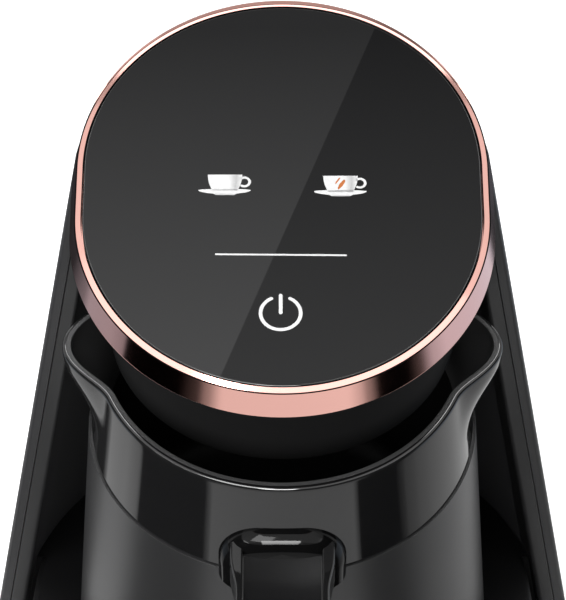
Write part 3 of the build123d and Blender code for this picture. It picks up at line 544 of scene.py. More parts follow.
# %% Finishes
FINISHES = {
    "casing": moulded("casing_grey", (0.034, 0.034, 0.036), 0.42),
    "liner": moulded("liner_black", (0.040, 0.040, 0.041), 0.30, depth=0.00001, specular=0.3),
    "base": moulded("base_black", (0.003, 0.003, 0.0032), 0.5, specular=0.07),
    "base_plate": moulded("plate_black", (0.03, 0.03, 0.032), 0.6),
    "feet": rubber("foot_rubber", (0.03, 0.03, 0.03)),
    "screws": plain_metal("screw_steel", (0.55, 0.55, 0.56), 0.3),
    "bushing": rubber("bush_rubber", (0.03, 0.03, 0.031)),
    "board": circuit("board_green", (0.02, 0.13, 0.06)),
    "relay": moulded("relay_blue", (0.02, 0.06, 0.15), 0.35),
    "transformer": plain_metal("core_steel", (0.30, 0.28, 0.25), 0.5),
    "board_parts": moulded("component_black", (0.04, 0.045, 0.05), 0.45),
    "wiring": rubber("wire_sleeve", (0.05, 0.05, 0.052)),
    "socket": moulded("socket_black", (0.022, 0.022, 0.023), 0.4),
    "contacts": plain_metal("contact_brass", (0.80, 0.62, 0.32), 0.22),
    "copper_ring": turned("ring_copper", (0.83, 0.46, 0.40), 0.10),
    "touch_glass": black_glass("panel_glass", (0.0045, 0.0045, 0.005), 0.005),
    "tape": rubber("tape_black", (0.015, 0.015, 0.015)),
    "light_guide": moulded("guide_white", (0.8, 0.8, 0.78), 0.35),
    # The head's cup has painted shade that darkens it towards its foot.
    "head": head_plastic_painted_shade("head_black_painted_shade", (0.0075, 0.0075, 0.0077), 0.7),
    "sensor_glass": black_glass("sensor_glass", (0.03, 0.008, 0.01), 0.03),
    "collar": glossy("collar_black", (0.012, 0.012, 0.0125), 0.035),
    "boss": glossy("boss_black", (0.006, 0.006, 0.0062), 0.04, specular=0.12),
    "seal": rubber("seal_silicone", (0.45, 0.45, 0.45)),
    "pot_body": moulded("pot_grey", (0.031, 0.031, 0.032), 0.32, depth=0.00001, specular=0.35),
    # The cup inside the pot is near black all over.
    "steel_cup": moulded("cup_near_black", (0.006, 0.006, 0.006), 0.55, specular=0.15),
    "spreader": plain_metal("spreader_aluminium", (0.75, 0.75, 0.76), 0.35),
    "element": plain_metal("element_steel", (0.42, 0.42, 0.43), 0.35),
    "pot_base": moulded("pot_base_black", (0.022, 0.022, 0.023), 0.42),
    "handle": glossy("handle_black", (0.013, 0.013, 0.0135), 0.05),
    "handle_inlay": moulded("inlay_black", (0.010, 0.010, 0.0106), 0.24, depth=0.00001),
}
GROOVE_BLACK = moulded("groove_black", (0.004, 0.003, 0.003), 0.7, specular=0.05)
# Painted light: the collar's lip and inside are a paler grey than the collar, standing in for light
# that barely reaches them.
COLLAR_INSIDE_PAINTED_LIGHT = moulded("collar_inside_painted_light", (0.075, 0.075, 0.076), 0.5, specular=0.3)
# Painted light: the bay's inner wall is paler than the liner, standing in for light that barely
# reaches it.
BAY_INSIDE_PAINTED_LIGHT = moulded("bay_inside_painted_light", (0.10, 0.10, 0.103), 0.45, specular=0.2)
for part in frame["record"]["subparts"]:
    node = frame["nodes"][part["node"]]
    node.data.materials.clear()
    node.data.materials.append(FINISHES[part["material_slot"]])
print("finishes:", len(FINISHES))

# %% [markdown]
# ## Skins over rings of points
# Nearly every piece here is a wall that runs round an axis or along a line, so it is a skin over
# rings with equally many points, and each face joins four of them.  Real edges are never quite
# sharp, so a helper rounds the corners of an outline.

# %% Corners and skins
ARC_STEPS = 5
MOST_REACH = 0.48
SMOOTH_ANGLE = math.radians(38.0)


def rounded(corners):
    """Points of a closed outline from (corner, radius) pairs, with arcs at the corners."""
    points = []
    for i, (here, radius) in enumerate(corners):
        if radius == 0:
            points.append(here)
            continue
        to_last = corners[i - 1][0] - here
        to_next = corners[(i + 1) % len(corners)][0] - here
        reach = radius / math.tan(to_last.angle(to_next) / 2)
        reach = min(reach, MOST_REACH * to_last.length, MOST_REACH * to_next.length)
        start = here + to_last.normalized() * reach
        end = here + to_next.normalized() * reach
        for step in range(ARC_STEPS + 1):
            t = step / ARC_STEPS
            points.append(start * (1 - t) ** 2 + here * 2 * t * (1 - t) + end * t ** 2)
    return points


def quarter(steps):
    """Angles over a quarter turn, both ends included."""
    return [math.radians(90) * i / steps for i in range(steps + 1)]


def skin(rings, closed):
    """Vertices and faces over rings; an open skin is capped at both ends."""
    count = len(rings[0])
    vertices = [point for ring in rings for point in ring]
    faces = []
    for i in range(len(rings) if closed else len(rings) - 1):
        low, high = i * count, ((i + 1) % len(rings)) * count
        for k in range(count):
            n = (k + 1) % count
            faces.append((low + k, low + n, high + n, high + k))
    if not closed:
        faces.append(tuple(reversed(range(count))))
        faces.append(tuple(range(len(vertices) - count, len(vertices))))
    return vertices, faces


# %% Meshes and pieces
def face_outwards(mesh):
    """Turns every face to look out of a closed mesh."""
    work = bmesh.new()
    work.from_mesh(mesh)
    bmesh.ops.recalc_face_normals(work, faces=work.faces)
    work.to_mesh(mesh)
    work.free()


def new_object(name, vertices, faces):
    """A linked mesh object from points in millimetres."""
    mesh = bpy.data.meshes.new(name)
    mesh.from_pydata([point * MM for point in vertices], [], faces)
    face_outwards(mesh)
    return linked(name, mesh)


def built(name, rings, closed, body, slot, replaced=()):
    """A piece with a skin over rings: shaded, with its finish, and riding on its body."""
    piece = new_object(name, *skin(rings, closed))
    piece.data.materials.append(FINISHES[slot])
    piece.data.shade_smooth()
    piece.data.set_sharp_from_angle(angle=SMOOTH_ANGLE)
    even = piece.modifiers.new("even_shading", "WEIGHTED_NORMAL")
    even.keep_sharp = True
    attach(piece, body)
    if replaced:
        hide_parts(*replaced)
    print(piece.name, "faces", len(piece.data.polygons))
    return piece


def second_finish(piece, finish, chosen):
    """Gives another finish to the faces that are chosen by their number."""
    piece.data.materials.append(finish)
    for face in piece.data.polygons:
        face.material_index = 1 if chosen(face.index) else 0


# %% [markdown]
# ## The panel's outline
# Seen from above, the panel has two nearly round ends joined by short straight sides.  The glass,
# the ring and the cup under it follow that outline, each a little larger or smaller, so one
# function draws it for any growth.

# %% Outline of the panel
GLASS_HALF_WIDTH = 42.0
GLASS_HALF_LENGTH = 50.5
STRAIGHT_HALF = 6.2
ROUND_STEPS = 240


def panel_outline(angle, grow):
    """Place on the panel's outline, grown outwards, as x and y."""
    end = GLASS_HALF_LENGTH - STRAIGHT_HALF + grow
    x = (GLASS_HALF_WIDTH + grow) * math.cos(angle)
    side = STRAIGHT_HALF if math.sin(angle) > 0 else -STRAIGHT_HALF
    return x, end * math.sin(angle) + side


def round_angles():
    """Angles all round, none of them exactly on the right or the left."""
    return [math.tau * (i + 0.5) / ROUND_STEPS for i in range(ROUND_STEPS)]


def around(column_at):
    """Rings of points from the upright section at every angle."""
    return [list(ring) for ring in zip(*(column_at(angle) for angle in round_angles()))]


print("outline at the right:", panel_outline(0.01, 0.0))

# %% [markdown]
# ## Touch glass
# The glass is 2.2 mm thick and its top edge is ground round, which draws the fine light line
# beside the bright ring.  The edge is made as rings that shrink while they rise.

# %% Touch glass
GLASS_THICK = 2.2
EDGE = 0.3
GLASS_GAP = 0.2


def at_the_back(angle):
    """One at the back, nought from the sides forwards."""
    return max(math.sin(angle), 0.0) ** 2


def glass_ring(grow, depth):
    """An outline of the glass; the gap round it closes towards the back."""
    gaps = [(a, GLASS_GAP * (1 - at_the_back(a))) for a in round_angles()]
    return [on_panel(*panel_outline(a, grow - gap), depth) for a, gap in gaps]


rings = [glass_ring(-0.1, GLASS_THICK), glass_ring(0.0, GLASS_THICK - 0.1)]
for turn in quarter(ARC_STEPS):
    rings.append(glass_ring(-EDGE * (1 - math.cos(turn)), EDGE * (1 - math.sin(turn))))
built("touch_glass", rings, False, "machine", "touch_glass", ["glass_panel"])

# %% [markdown]
# ## Bright ring
# The ring is one plated moulding: a narrow bevel beside the glass, a fine black groove, and a
# flared band.  Its section has its top corners placed once for the front and once for the back,
# where the band is thicker, and changes evenly between them.  The ledge that carries the glass
# is the same all round.

# %% Bright ring
TOP_FRONT = [(0.12, 0.03), (1.20, 0.50), (1.21, 0.85), (1.40, 0.85), (1.50, 0.62), (1.53, 0.78)]
TOP_BACK = [(0.42, 0.03), (1.30, 0.36), (1.31, 0.39), (1.34, 0.39), (1.36, 0.30), (2.30, 0.29)]
LEDGE_TOP = 2.5
FOOT_AND_LEDGE = [(2.80, 7.00, 0.30), (0.90, 7.00, 0.10), (0.90, 4.00, 0.0), (-2.00, 4.00, 0.0),
                  (-2.00, LEDGE_TOP, 0.0)]
GROOVE_FACES = (1, 2, 3)


def ring_column(angle):
    """One section through the ring, from (growth, depth, radius) corners."""
    share = at_the_back(angle)
    top = [(front[0] + (back[0] - front[0]) * share, front[1] + (back[1] - front[1]) * share, 0.0)
           for front, back in zip(TOP_FRONT, TOP_BACK)]
    section = top + FOOT_AND_LEDGE + [(top[0][0], LEDGE_TOP, 0.0)]
    return rounded([(on_panel(*panel_outline(angle, grow), depth), soft)
                    for grow, depth, soft in section])


rings = around(ring_column)
bright_ring = built("bright_ring", rings, True, "machine", "copper_ring", ["trim_ring"])
black_faces = GROOVE_FACES + (len(rings) - 1,)
second_finish(bright_ring, GROOVE_BLACK, lambda face: face // ROUND_STEPS in black_faces)

# %% [markdown]
# ## Symbols on the glass
# The controls are printed symbols: a cup for a quick brew, a cup with beans for a slow one, a
# line and a power sign.  Each is an outline that becomes a thin printed layer on the glass.

# %% A thin printed layer
PRINT_TOP = -0.035
PRINT_FOOT = 0.01


def printed(name, outlines, shades, colours):
    """Outlines in panel millimetres, as one piece; shades say how grey each corner is."""
    vertices, faces, greys = [], [], []
    for outline, shade in zip(outlines, shades):
        rings = [[on_panel(x, y, depth) for x, y in outline] for depth in (PRINT_FOOT, PRINT_TOP)]
        new_vertices, new_faces = skin(rings, closed=False)
        faces += [tuple(len(vertices) + k for k in face) for face in new_faces]
        vertices += new_vertices
        greys += [grey(shade(x, y)) for x, y in outline] * 2
    piece = new_object(name, vertices, faces)
    colour_points(piece.data, "shade", greys)
    finish, wire = new_finish(name)
    shade = wire.node("Attribute", {"attribute_name": "shade"}, output=2)
    tone = shade.mixed(colours[0], colours[1])
    surface(wire, Base_Color=tone, Roughness=0.25 + 0.05 * noise(wire, 400.0),
            Emission_Color=tone, Emission_Strength=0.1)
    piece.data.materials.append(finish)
    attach(piece, "machine")
    print(name, "faces", len(faces))
    return piece


def round_end(centre, start):
    """Points of a half circle, clockwise from a start."""
    arm = start - centre
    turns = [-math.pi * step / 8 for step in range(1, 8)]
    return [centre + Vector((arm.x * math.cos(t) - arm.y * math.sin(t),
                             arm.x * math.sin(t) + arm.y * math.cos(t))) for t in turns]


def stroke(path, width):
    """The outline of a line with round ends."""
    points = [Vector(p) for p in path]
    left, right = [], []
    for i, here in enumerate(points):
        along = points[min(i + 1, len(points) - 1)] - points[max(i - 1, 0)]
        across = Vector((-along.y, along.x)).normalized() * (width / 2)
        left.append(here + across)
        right.append(here - across)
    outline = left + round_end(points[-1], left[-1])
    outline += right[::-1] + round_end(points[0], right[0])
    return [(p.x, p.y) for p in outline]


# %% Shapes of the symbols
WHITE = (0.76, 0.76, 0.76, 1)
SHADE = (0.15, 0.15, 0.153, 1)
ORANGE = (0.47, 0.13, 0.02, 1)
AMBER = (0.54, 0.18, 0.04, 1)
BOWL_HALF, BOWL_FOOT_HALF = 3.62, 2.55


def arc(centre_x, centre_y, radius_x, radius_y, start, end, count=28):
    """Points on part of an ellipse, angles in degrees."""
    turns = [math.radians(start + (end - start) * i / count) for i in range(count + 1)]
    return [(centre_x + radius_x * math.cos(t), centre_y + radius_y * math.sin(t)) for t in turns]


def bowl_strips(x, y):
    """The cup's bowl in upright strips, so that its shading can vary across."""
    top, low = y + 2.20, y - 2.15
    halves = [(k / 6, BOWL_HALF + (BOWL_FOOT_HALF - BOWL_HALF) * (k / 6) ** 2.2) for k in range(7)]
    edges = [[(x + (i / 6 - 1) * half, top + (low - top) * fall) for fall, half in halves]
             for i in range(13)]
    return [left + right[::-1] for left, right in zip(edges, edges[1:])]


def unshaded(x, y):
    return 0.0


def cup_symbol(name, x, y):
    """A cup with its ear, on a saucer."""
    def bowl_shade(px, py):
        share = (px - x) / BOWL_HALF
        return max(0.0, 1 - abs(share - 0.62) / 0.34) * 0.55

    def saucer_shade(px, py):
        return 0.55 if py < y - 2.95 else 0.0

    strips = bowl_strips(x, y)
    ear = stroke(arc(x + 4.05, y + 0.24, 1.12, 1.16, -118, 128), 0.56)
    saucer = arc(x - 0.08, y - 1.95, 5.5, 0.34, 0, 180)
    saucer += arc(x - 0.08, y - 1.95, 5.5, 1.0, 180, 360)
    foot = [(x - 2.5, y - 2.85), (x + 2.6, y - 2.85), (x + 1.9, y - 3.25), (x - 1.9, y - 3.25)]
    outlines = strips + [ear, saucer, foot]
    shades = [bowl_shade] * len(strips) + [unshaded, saucer_shade, saucer_shade]
    printed(name, outlines, shades, (WHITE, SHADE))


cup_symbol("symbol_cup", -12.05, 1.79)
cup_symbol("symbol_cup_beans", 12.21, 1.47)

# %% Beans, line and power sign
PRINT_LIFT = 0.02
BAR_LEFT, BAR_RIGHT = -13.9, 13.3
SIGN_WIDTH = 0.76
POWER_Y = -32.1
sliver = [(12.15, 2.75), (11.95, 2.85), (11.35, 1.85), (11.25, 1.45), (11.45, 1.55), (11.9, 2.25)]
bean = [(12.75, 2.45), (12.98, 2.25), (12.95, 1.9), (12.45, 0.95), (12.0, 0.45), (11.78, 0.3),
        (11.72, 0.65), (11.95, 1.35), (12.35, 1.95)]
BEAN_GROW, BEAN_X, BEAN_Y = 1.25, 12.1, 1.5
larger = [[(BEAN_X + (x - BEAN_X) * BEAN_GROW, BEAN_Y + (y - BEAN_Y) * BEAN_GROW)
           for x, y in shape] for shape in (sliver, bean)]
beans = printed("symbol_beans", larger, [unshaded] * 2, (ORANGE, AMBER))
beans.location = PANEL_UP * PRINT_LIFT * MM
bar = [(BAR_LEFT, -16.82), (BAR_RIGHT, -17.08), (BAR_RIGHT, -17.50), (BAR_LEFT, -17.24)]
printed("symbol_line", [bar], [unshaded], (WHITE, SHADE))
loop = stroke(arc(-0.36, POWER_Y, 4.10, 4.17, 90 + 28, 450 - 28, 60), SIGN_WIDTH)
stem = stroke([(-0.35, POWER_Y + rise) for rise in (4.5, 2.0, 0.1)], SIGN_WIDTH)
printed("symbol_power", [loop, stem], [unshaded] * 2, (WHITE, SHADE))

# %% [markdown]
# ## The head's cup
# Under the ring hangs a deep cup that reaches down over the pot.  Its upper edge is an oval in
# the leaning plane of the panel and its foot is a level circle, so its wall leans more in front
# than at the sides.  Each column of points runs straight from one to the other.

# %% Head cup
CUP_HALF_WIDTH = 41.0
CUP_HALF_LENGTH = 49.5
CUP_TOP = 4.3
CUP_FOOT = 145.5
CUP_FOOT_RADIUS = 37.5
CUP_WALL = 2.2
CUP_OPENING = 29.0
CUP_ROUND = 4.0
SHOULDER_SHARE = 0.042


def cup_column(angle):
    """One upright section through the cup's wall, as a closed outline."""
    def oval(grow, depth):
        x = (CUP_HALF_WIDTH + grow) * math.cos(angle)
        return on_panel(x, (CUP_HALF_LENGTH + grow) * math.sin(angle), depth)

    def level(radius, height):
        return round_axis(radius, angle, height)

    def spigot(depth):
        return on_panel(*panel_outline(angle, 0.7), depth)

    top, foot = oval(0.0, CUP_TOP), level(CUP_FOOT_RADIUS, CUP_FOOT)
    inner = level(CUP_FOOT_RADIUS - CUP_WALL, CUP_FOOT + CUP_WALL)
    corners = [
        (spigot(CUP_TOP), 0.1), (spigot(CUP_TOP + 1.5), 0.1), (top.lerp(foot, SHOULDER_SHARE), 0.3),
        (foot, CUP_ROUND), (level(CUP_OPENING, CUP_FOOT), 0.2),
        (level(CUP_OPENING, CUP_FOOT + CUP_WALL), 0.0), (inner, 0.5), (oval(-CUP_WALL, CUP_TOP), 0)]
    return rounded(corners)


built("head_shroud", around(cup_column), True, "machine", "head", ["head_cup"])

# %% [markdown]
# ## The pot's collar
# The collar is glossy black outside and satin inside, with two spouts that swell out of a rolled
# rim and fade into the wall below.  Its lip and inside are a paler grey than the outside, which is
# painted light where little light reaches.  One formula says how far the spouts stand out at any
# angle and height, so the skin is perfectly smooth, as gloss demands.

# %% Collar
POT_FOOT = 42.3
RIM_HEIGHT = 141.0
COLLAR_HEIGHT = 26.5
COLLAR_FOOT = RIM_HEIGHT - COLLAR_HEIGHT
RIM_OUTER, RIM_INNER = 41.2, 39.1
FOOT_OUTER, FOOT_INNER = 43.2, 38.9
COUNTERBORE = 41.2
SEAT_HEIGHT = 118.0
SPOUT_REACH = 7.4
SPOUT_HALF = math.radians(22.5)
SPOUT_DROP = 20.0
RIM_ROUND = 1.1
STATIONS = 18
RIM_POINT = STATIONS + 2 * ARC_STEPS


def spout(angle, height):
    """How far a spout stands out of the round wall."""
    off = min(angle % math.pi, math.pi - angle % math.pi)
    if off >= SPOUT_HALF:
        return 0.0
    fall = min(max((RIM_HEIGHT - height) / SPOUT_DROP, 0.0), 1.0)
    fade = (1 + math.cos(math.pi * fall)) / 2
    return SPOUT_REACH * fade * (1 + math.cos(math.pi * off / SPOUT_HALF)) / 2


def wall_point(angle, height, rim_radius, foot_radius):
    """A point on the collar's outside or inside."""
    share = (RIM_HEIGHT - height) / COLLAR_HEIGHT
    radius = rim_radius + (foot_radius - rim_radius) * share + spout(angle, height)
    return round_axis(radius, angle, height)


def collar_column(angle):
    """One upright section through the collar's wall."""
    def outside(height):
        return wall_point(angle, height, RIM_OUTER, FOOT_OUTER)

    def inside(height):
        return wall_point(angle, height, RIM_INNER, FOOT_INNER)

    top = RIM_HEIGHT - 0.6
    shares = [i / STATIONS for i in range(1, STATIONS)]
    corners = [(outside(COLLAR_FOOT), 0.1)]
    corners += [(outside(COLLAR_FOOT + (COLLAR_HEIGHT - 1.5) * share), 0.0) for share in shares]
    corners += [(outside(RIM_HEIGHT), RIM_ROUND), (inside(RIM_HEIGHT), 0.3)]
    corners += [(inside(top - (top - SEAT_HEIGHT) * share), 0.0) for share in shares]
    corners.append((inside(SEAT_HEIGHT), 0.2))
    corners.append((round_axis(COUNTERBORE, angle, SEAT_HEIGHT), 0.0))
    corners.append((round_axis(COUNTERBORE, angle, COLLAR_FOOT), 0.2))
    return rounded(corners)


collar = built("collar", around(collar_column), True, "pot", "collar", ["pot_collar"])
# The lip and the inside take the paler grey of painted light.
second_finish(collar, COLLAR_INSIDE_PAINTED_LIGHT, lambda face: face // ROUND_STEPS >= RIM_POINT)
print("spout tip stands at", round(wall_point(0.0, RIM_HEIGHT, RIM_OUTER, FOOT_OUTER).x, 2), "mm")

# %% [markdown]
# ## The pot's body
# The body is a plain satin cone with a neck that slips into the collar.  The joint line between
# body and collar is a true gap of an eighth of a millimetre.

# %% Pot body
BODY_TOP = COLLAR_FOOT - 0.12
BODY_FOOT = POT_FOOT + 3.2
BODY_TOP_RADIUS = 43.65
BODY_FOOT_RADIUS = 48.7
NECK_OUTER, NECK_INNER = 41.05, 40.2
NECK_TOP = 116.2
NECK_ROOT = 110.1
BODY_WALL = 2.0


def body_radius(height):
    share = (COLLAR_FOOT - height) / (COLLAR_FOOT - POT_FOOT)
    return BODY_TOP_RADIUS + (BODY_FOOT_RADIUS - BODY_TOP_RADIUS) * share


def body_column(angle):
    """One upright section through the body's wall."""
    section = [(body_radius(BODY_FOOT), BODY_FOOT, 0.3)]
    section += [(body_radius(z), z, 0.0) for z in (60.0, 75.0, 90.0, 105.0)]
    section += [
        (body_radius(BODY_TOP), BODY_TOP, 0.06), (NECK_OUTER, BODY_TOP, 0.0),
        (NECK_OUTER, NECK_TOP, 0.2), (NECK_INNER, NECK_TOP, 0.2), (NECK_INNER, NECK_ROOT, 0.0),
        (body_radius(NECK_ROOT) - BODY_WALL, NECK_ROOT, 0.0),
        (body_radius(BODY_FOOT) - BODY_WALL, BODY_FOOT, 0.2)]
    return rounded([(round_axis(r, angle, z), soft) for r, z, soft in section])


built("satin_body", around(body_column), True, "pot", "pot_body", ["pot_body"])

# %% [markdown]
# ## The handle's boss
# Where the handle meets the pot there is a boss with a flat face, a low arched top and a round
# foot.  It is half on the collar and half on the body, so the joint line runs across it.  Each
# half is a stack of outlines that starts inside the pot's wall and shrinks towards the front.

# %% Boss halves
BOSS_HALF = 13.9
BOSS_TOP = 129.0
BOSS_WIDE, BOSS_TALL = 9.5, 9.5
BOSS_CAMBER = 1.4
BOSS_FRONT = 46.5
BOSS_MIDDLE = 117.0
BOSS_ROUND = 5.2
FINE_STEPS = 16
ROOT_IN_COLLAR, ROOT_IN_BODY = 1.4, 1.0


def upper_outline(inset):
    """Outline of the upper half, from the right foot over the top: x and height."""
    half, top = BOSS_HALF - inset, BOSS_TOP - inset
    wide, tall = BOSS_WIDE - inset, BOSS_TALL - inset
    right = [(half, COLLAR_FOOT)]
    right += [(half - wide * (1 - math.cos(t)), top - tall * (1 - math.sin(t)))
              for t in quarter(FINE_STEPS)]
    right += [((half - wide) * (1 - i / 8), top) for i in range(1, 8)]
    arched = [(x, z - BOSS_CAMBER * (x / half) ** 2) for x, z in right]
    return arched + [(0.0, top)] + [(-x, z) for x, z in reversed(arched)]


def lower_outline(inset):
    """Outline of the lower half, from the left end round the foot to the right end."""
    radius = BOSS_HALF - inset
    start = math.pi + math.asin((BOSS_MIDDLE - BODY_TOP) / radius)
    end = math.tau + math.pi - start
    turns = [start + (end - start) * i / 48 for i in range(49)]
    return [(radius * math.cos(t), BOSS_MIDDLE + radius * math.sin(t)) for t in turns]


def shrunk(outline, share, middle):
    """An outline drawn in towards its middle height."""
    return [(x * share, middle + (z - middle) * share) for x, z in outline]


def boss_ring(outline, radius_at):
    """An outline laid on a round wall."""
    return [Vector((x, AXIS_Y - math.sqrt(radius_at(z) ** 2 - x ** 2), z)) for x, z in outline]


def flat_ring(outline, reach):
    """An outline in an upright plane."""
    return [Vector((x, AXIS_Y - reach, z)) for x, z in outline]


def boss_half(name, outline_at, root_at, slot):
    """One half of the boss, from its root in the wall to its face."""
    edge, last = outline_at(0.0), outline_at(BOSS_ROUND)
    middle = sum(z for _, z in edge) / len(edge)
    rings = [boss_ring(shrunk(edge, share, middle), root_at) for share in (0.02, 0.35, 0.7, 1.0)]
    for turn in quarter(12):
        inset, back = BOSS_ROUND * (1 - math.cos(turn)), BOSS_ROUND * (1 - math.sin(turn))
        rings.append(flat_ring(outline_at(inset), BOSS_FRONT - back))
    rings += [flat_ring(shrunk(last, share, middle), BOSS_FRONT) for share in (0.8, 0.5, 0.2, 0.02)]
    half = built(name, rings, False, "pot", slot)
    half.data.materials[0] = FINISHES["boss"]
    half.visible_glossy = False


boss_half("boss_upper", upper_outline, lambda z: FOOT_OUTER - ROOT_IN_COLLAR, "collar")
boss_half("boss_lower", lower_outline, lambda z: body_radius(z) - ROOT_IN_BODY, "pot_body")

# %% [markdown]
# ## The bay's liner
# The inner skin of the casing starts with a flat strip beside the seam, rolls over a small
# rounding and runs round behind the pot.  It is a skin over level sections, and every section
# has the same corners, so the strips stay straight from the foot to the ring.

# %% Liner
FLANK_FOOT, FLANK_TOP = 4.0, 188.0
CASING_AXIS, CASING_FOOT_RADIUS, CASING_TOP_RADIUS = 8.9, 73.952, 44.124
BAY_AXIS, BAY_FOOT_RADIUS, BAY_TOP_RADIUS = -4.0, 69.587, 42.112
WING_FRONT = 15.0
LINER_INSET = 2.75
LINER_WALL = 2.2
WING_ROUND = 2.6
RING_FOOT_DEPTH = 7.1
BACK_STEP = 1.5
LINER_RISE = 16
BAY_STEPS, BAY_TRIM = 96, 3
BAY_FIRST = 2 * (ARC_STEPS + 2)
BAY_LAST = BAY_FIRST + BAY_STEPS - 1 - 2 * BAY_TRIM


def flank(height, foot, top):
    """A size that changes evenly from the casing's foot to its top."""
    return foot + (top - foot) * (height - FLANK_FOOT) / (FLANK_TOP - FLANK_FOOT)


def under_ring(y):
    """Height of the ring's underside over a place behind the pot's axis."""
    lean = math.sin(PANEL_TILT) * y - RING_FOOT_DEPTH
    return PANEL_HEIGHT + lean / math.cos(PANEL_TILT)


def bay_arc(radius, start):
    """Points round the bay, from a start angle to its mirror."""
    turns = [start + (math.pi - 2 * start) * i / BAY_STEPS for i in range(BAY_STEPS + 1)]
    return [Vector((radius * math.cos(a), BAY_AXIS + radius * math.sin(a))) for a in turns]


def liner_section(height):
    """The liner's level section: flat strip, rounding, bay and back, as x and y."""
    outer = flank(height, CASING_FOOT_RADIUS, CASING_TOP_RADIUS) - LINER_INSET
    bay = flank(height, BAY_FOOT_RADIUS, BAY_TOP_RADIUS)
    back = WING_FRONT + LINER_WALL
    edge = math.sqrt(outer ** 2 - (WING_FRONT - CASING_AXIS) ** 2)
    edge_back = math.sqrt(outer ** 2 - (back - CASING_AXIS) ** 2)
    start = math.asin((WING_FRONT - BAY_AXIS) / bay)
    back_start = math.asin((back + BACK_STEP - BAY_AXIS) / (bay + LINER_WALL))
    lip = bay * math.cos(start)
    strip = [(lip, WING_ROUND), ((edge + lip) / 2, 0.0), (edge, 0.25)]
    corners = [(Vector((edge, back)), 0.0)]
    corners += [(Vector((x, WING_FRONT)), soft) for x, soft in reversed(strip)]
    corners += [(point, 0.0) for point in bay_arc(bay, start)[BAY_TRIM + 1:-BAY_TRIM - 1]]
    corners += [(Vector((-x, WING_FRONT)), soft) for x, soft in strip]
    corners.append((Vector((-edge_back, back)), 0.0))
    corners += [(point, 0.0) for point in reversed(bay_arc(bay + LINER_WALL, back_start))]
    return rounded(corners)


def raised(section_of, share):
    """A section at a share of the height, its top trimmed under the ring."""
    low = section_of(FLANK_FOOT + share * (under_ring(WING_FRONT) - FLANK_FOOT))
    ring = []
    for k, point in enumerate(low):
        height = FLANK_FOOT + share * (under_ring(point.y) - FLANK_FOOT)
        there = section_of(height)[k]
        ring.append(Vector((there.x, AXIS_Y + there.y, height)))
    return ring


rings = [raised(liner_section, i / LINER_RISE) for i in range(LINER_RISE + 1)]
liner = built("bay_liner", rings, False, "machine", "liner", ["inner_shell"])
count = len(rings[0])
# The bay's inner wall takes the paler grey of painted light.
second_finish(liner, BAY_INSIDE_PAINTED_LIGHT,
              lambda face: face < LINER_RISE * count and BAY_FIRST <= face % count < BAY_LAST)
print("points on the liner's section:", count)

# %% [markdown]
# ## The handle
# The handle leaves the boss, bends down and ends in front of the pot's middle.  It is a glossy
# channel with two side rails, and a satin panel lies sunk between them.  The section changes on
# the way, for the small ears at the boss, so it is moved along the path station by station.

# %% Path of the handle
GRIP_HEIGHT = 120.5
GRIP_FRONT = 80.0
GRIP_BEND = 19.0
GRIP_FOOT = 58.0


def grip_stations(start, foot, run_count=22, bend_count=18):
    """Places along the handle: (reach, height, outward direction, length so far)."""
    up, forward = Vector((0, 0, 1)), Vector((0, -1, 0))
    bend_start, low = GRIP_FRONT - GRIP_BEND, GRIP_HEIGHT - GRIP_BEND
    run = bend_start - start
    stations = [(start + run * i / run_count, GRIP_HEIGHT, up, run * i / run_count)
                for i in range(run_count + 1)]
    for turn in quarter(bend_count)[1:]:
        along, drop = GRIP_BEND * math.sin(turn), GRIP_BEND * (1 - math.cos(turn))
        out = up * math.cos(turn) + forward * math.sin(turn)
        stations.append((bend_start + along, GRIP_HEIGHT - drop, out, run + GRIP_BEND * turn))
    for i in range(1, run_count + 1):
        height = low + (foot - low) * i / run_count
        length = run + GRIP_BEND * math.pi / 2 + low - height
        stations.append((GRIP_FRONT, height, forward, length))
    return stations


def along_grip(stations, section_at):
    """Rings of a section of (x, outward) points moved along the handle."""
    rings = []
    for reach, height, out, length in stations:
        middle = Vector((0, AXIS_Y - reach, height))
        rings.append([middle + Vector((x, 0, 0)) + out * outward
                      for x, outward in section_at(length, height)])
    return rings


print("stations on the handle:", len(grip_stations(BOSS_FRONT, GRIP_FOOT)))

# %% Handle frame
GRIP_HALF, GRIP_DEEP = 10.0, 5.0
CHANNEL_HALF, CHANNEL_FLOOR = 8.6, 1.5
FRAME_START = 43.0
EAR_STAND = 1.3
EAR_END = 13.5
FOOT_ROUND = 1.2


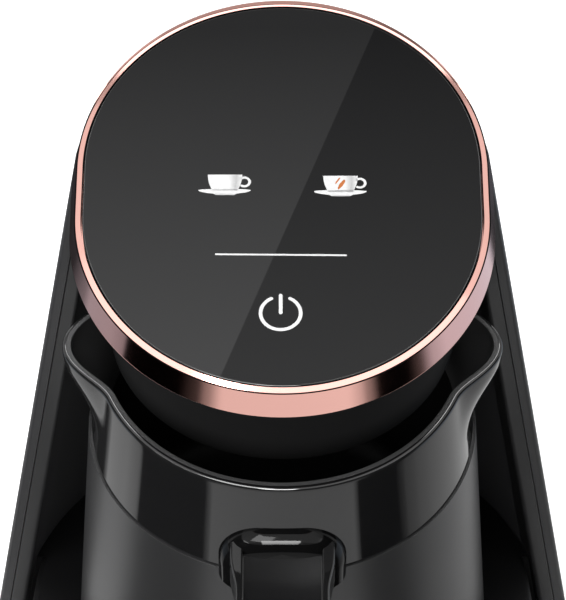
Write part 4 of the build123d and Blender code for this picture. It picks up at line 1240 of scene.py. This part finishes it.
def frame_section(length, height):
    """The handle's channel section, wider at the ears and closed at its foot."""
    before_boss = BOSS_FRONT - FRAME_START
    along_ear = (length - before_boss) / (EAR_END - before_boss)
    ear = EAR_STAND * (1 + math.cos(math.pi * min(max(along_ear, 0.0), 1.0))) / 2
    half = GRIP_HALF + ear
    floor = CHANNEL_FLOOR if GRIP_FOOT + 4 < height else GRIP_DEEP - 0.02
    corners = [(-half, -GRIP_DEEP, 2.2), (half, -GRIP_DEEP, 2.2), (half, GRIP_DEEP, 0.6),
               (CHANNEL_HALF, GRIP_DEEP, 0.35), (CHANNEL_HALF, floor, 0.2)]
    full = corners + [(-x, out, soft) for x, out, soft in reversed(corners[2:])]
    points = rounded([(Vector((x, out)), soft) for x, out, soft in full])
    return [(p.x, p.y) for p in points]


def foot_closed(rings):
    """Adds rings that round off the lower end."""
    last = rings[-1]
    middle = sum(last, Vector()) / len(last)
    middle.x = 0.0
    for turn in quarter(4)[1:]:
        shrink = 1 - (1 - math.cos(turn)) * FOOT_ROUND / GRIP_DEEP
        drop = Vector((0, 0, -FOOT_ROUND * math.sin(turn)))
        rings.append([middle + (p - middle) * shrink + drop for p in last])
    return rings


stations = grip_stations(FRAME_START, GRIP_FOOT + FOOT_ROUND)
rings = foot_closed(along_grip(stations, frame_section))
channel = built("handle_channel", rings, False, "pot", "handle", ["handle_frame"])
channel.visible_glossy = False

# %% Handle inlay
INLAY_HALF = 8.5
INLAY_EDGE = 0.15
INLAY_BACK, INLAY_TOP = 1.6, 4.1
INLAY_HOLLOW = 0.7
INLAY_START, INLAY_FOOT = BOSS_FRONT - 0.3, GRIP_FOOT + 4.1


def inlay_section(length, height):
    """A shallow gutter: flat underneath and hollow on top."""
    across = [(INLAY_HALF - INLAY_EDGE) * (1 - i / 10) for i in range(21)]
    hollow = [(x, INLAY_TOP - INLAY_HOLLOW * (1 - (x / INLAY_HALF) ** 2)) for x in across]
    side = [(INLAY_HALF, INLAY_BACK), (INLAY_HALF, INLAY_TOP - INLAY_EDGE)]
    return [(-INLAY_HALF, INLAY_BACK)] + side + hollow + [(-INLAY_HALF, side[1][1])]


rings = along_grip(grip_stations(INLAY_START, INLAY_FOOT), inlay_section)
gutter = built("handle_gutter", rings, False, "pot", "handle_inlay", ["handle_inlay"])
gutter.visible_glossy = False
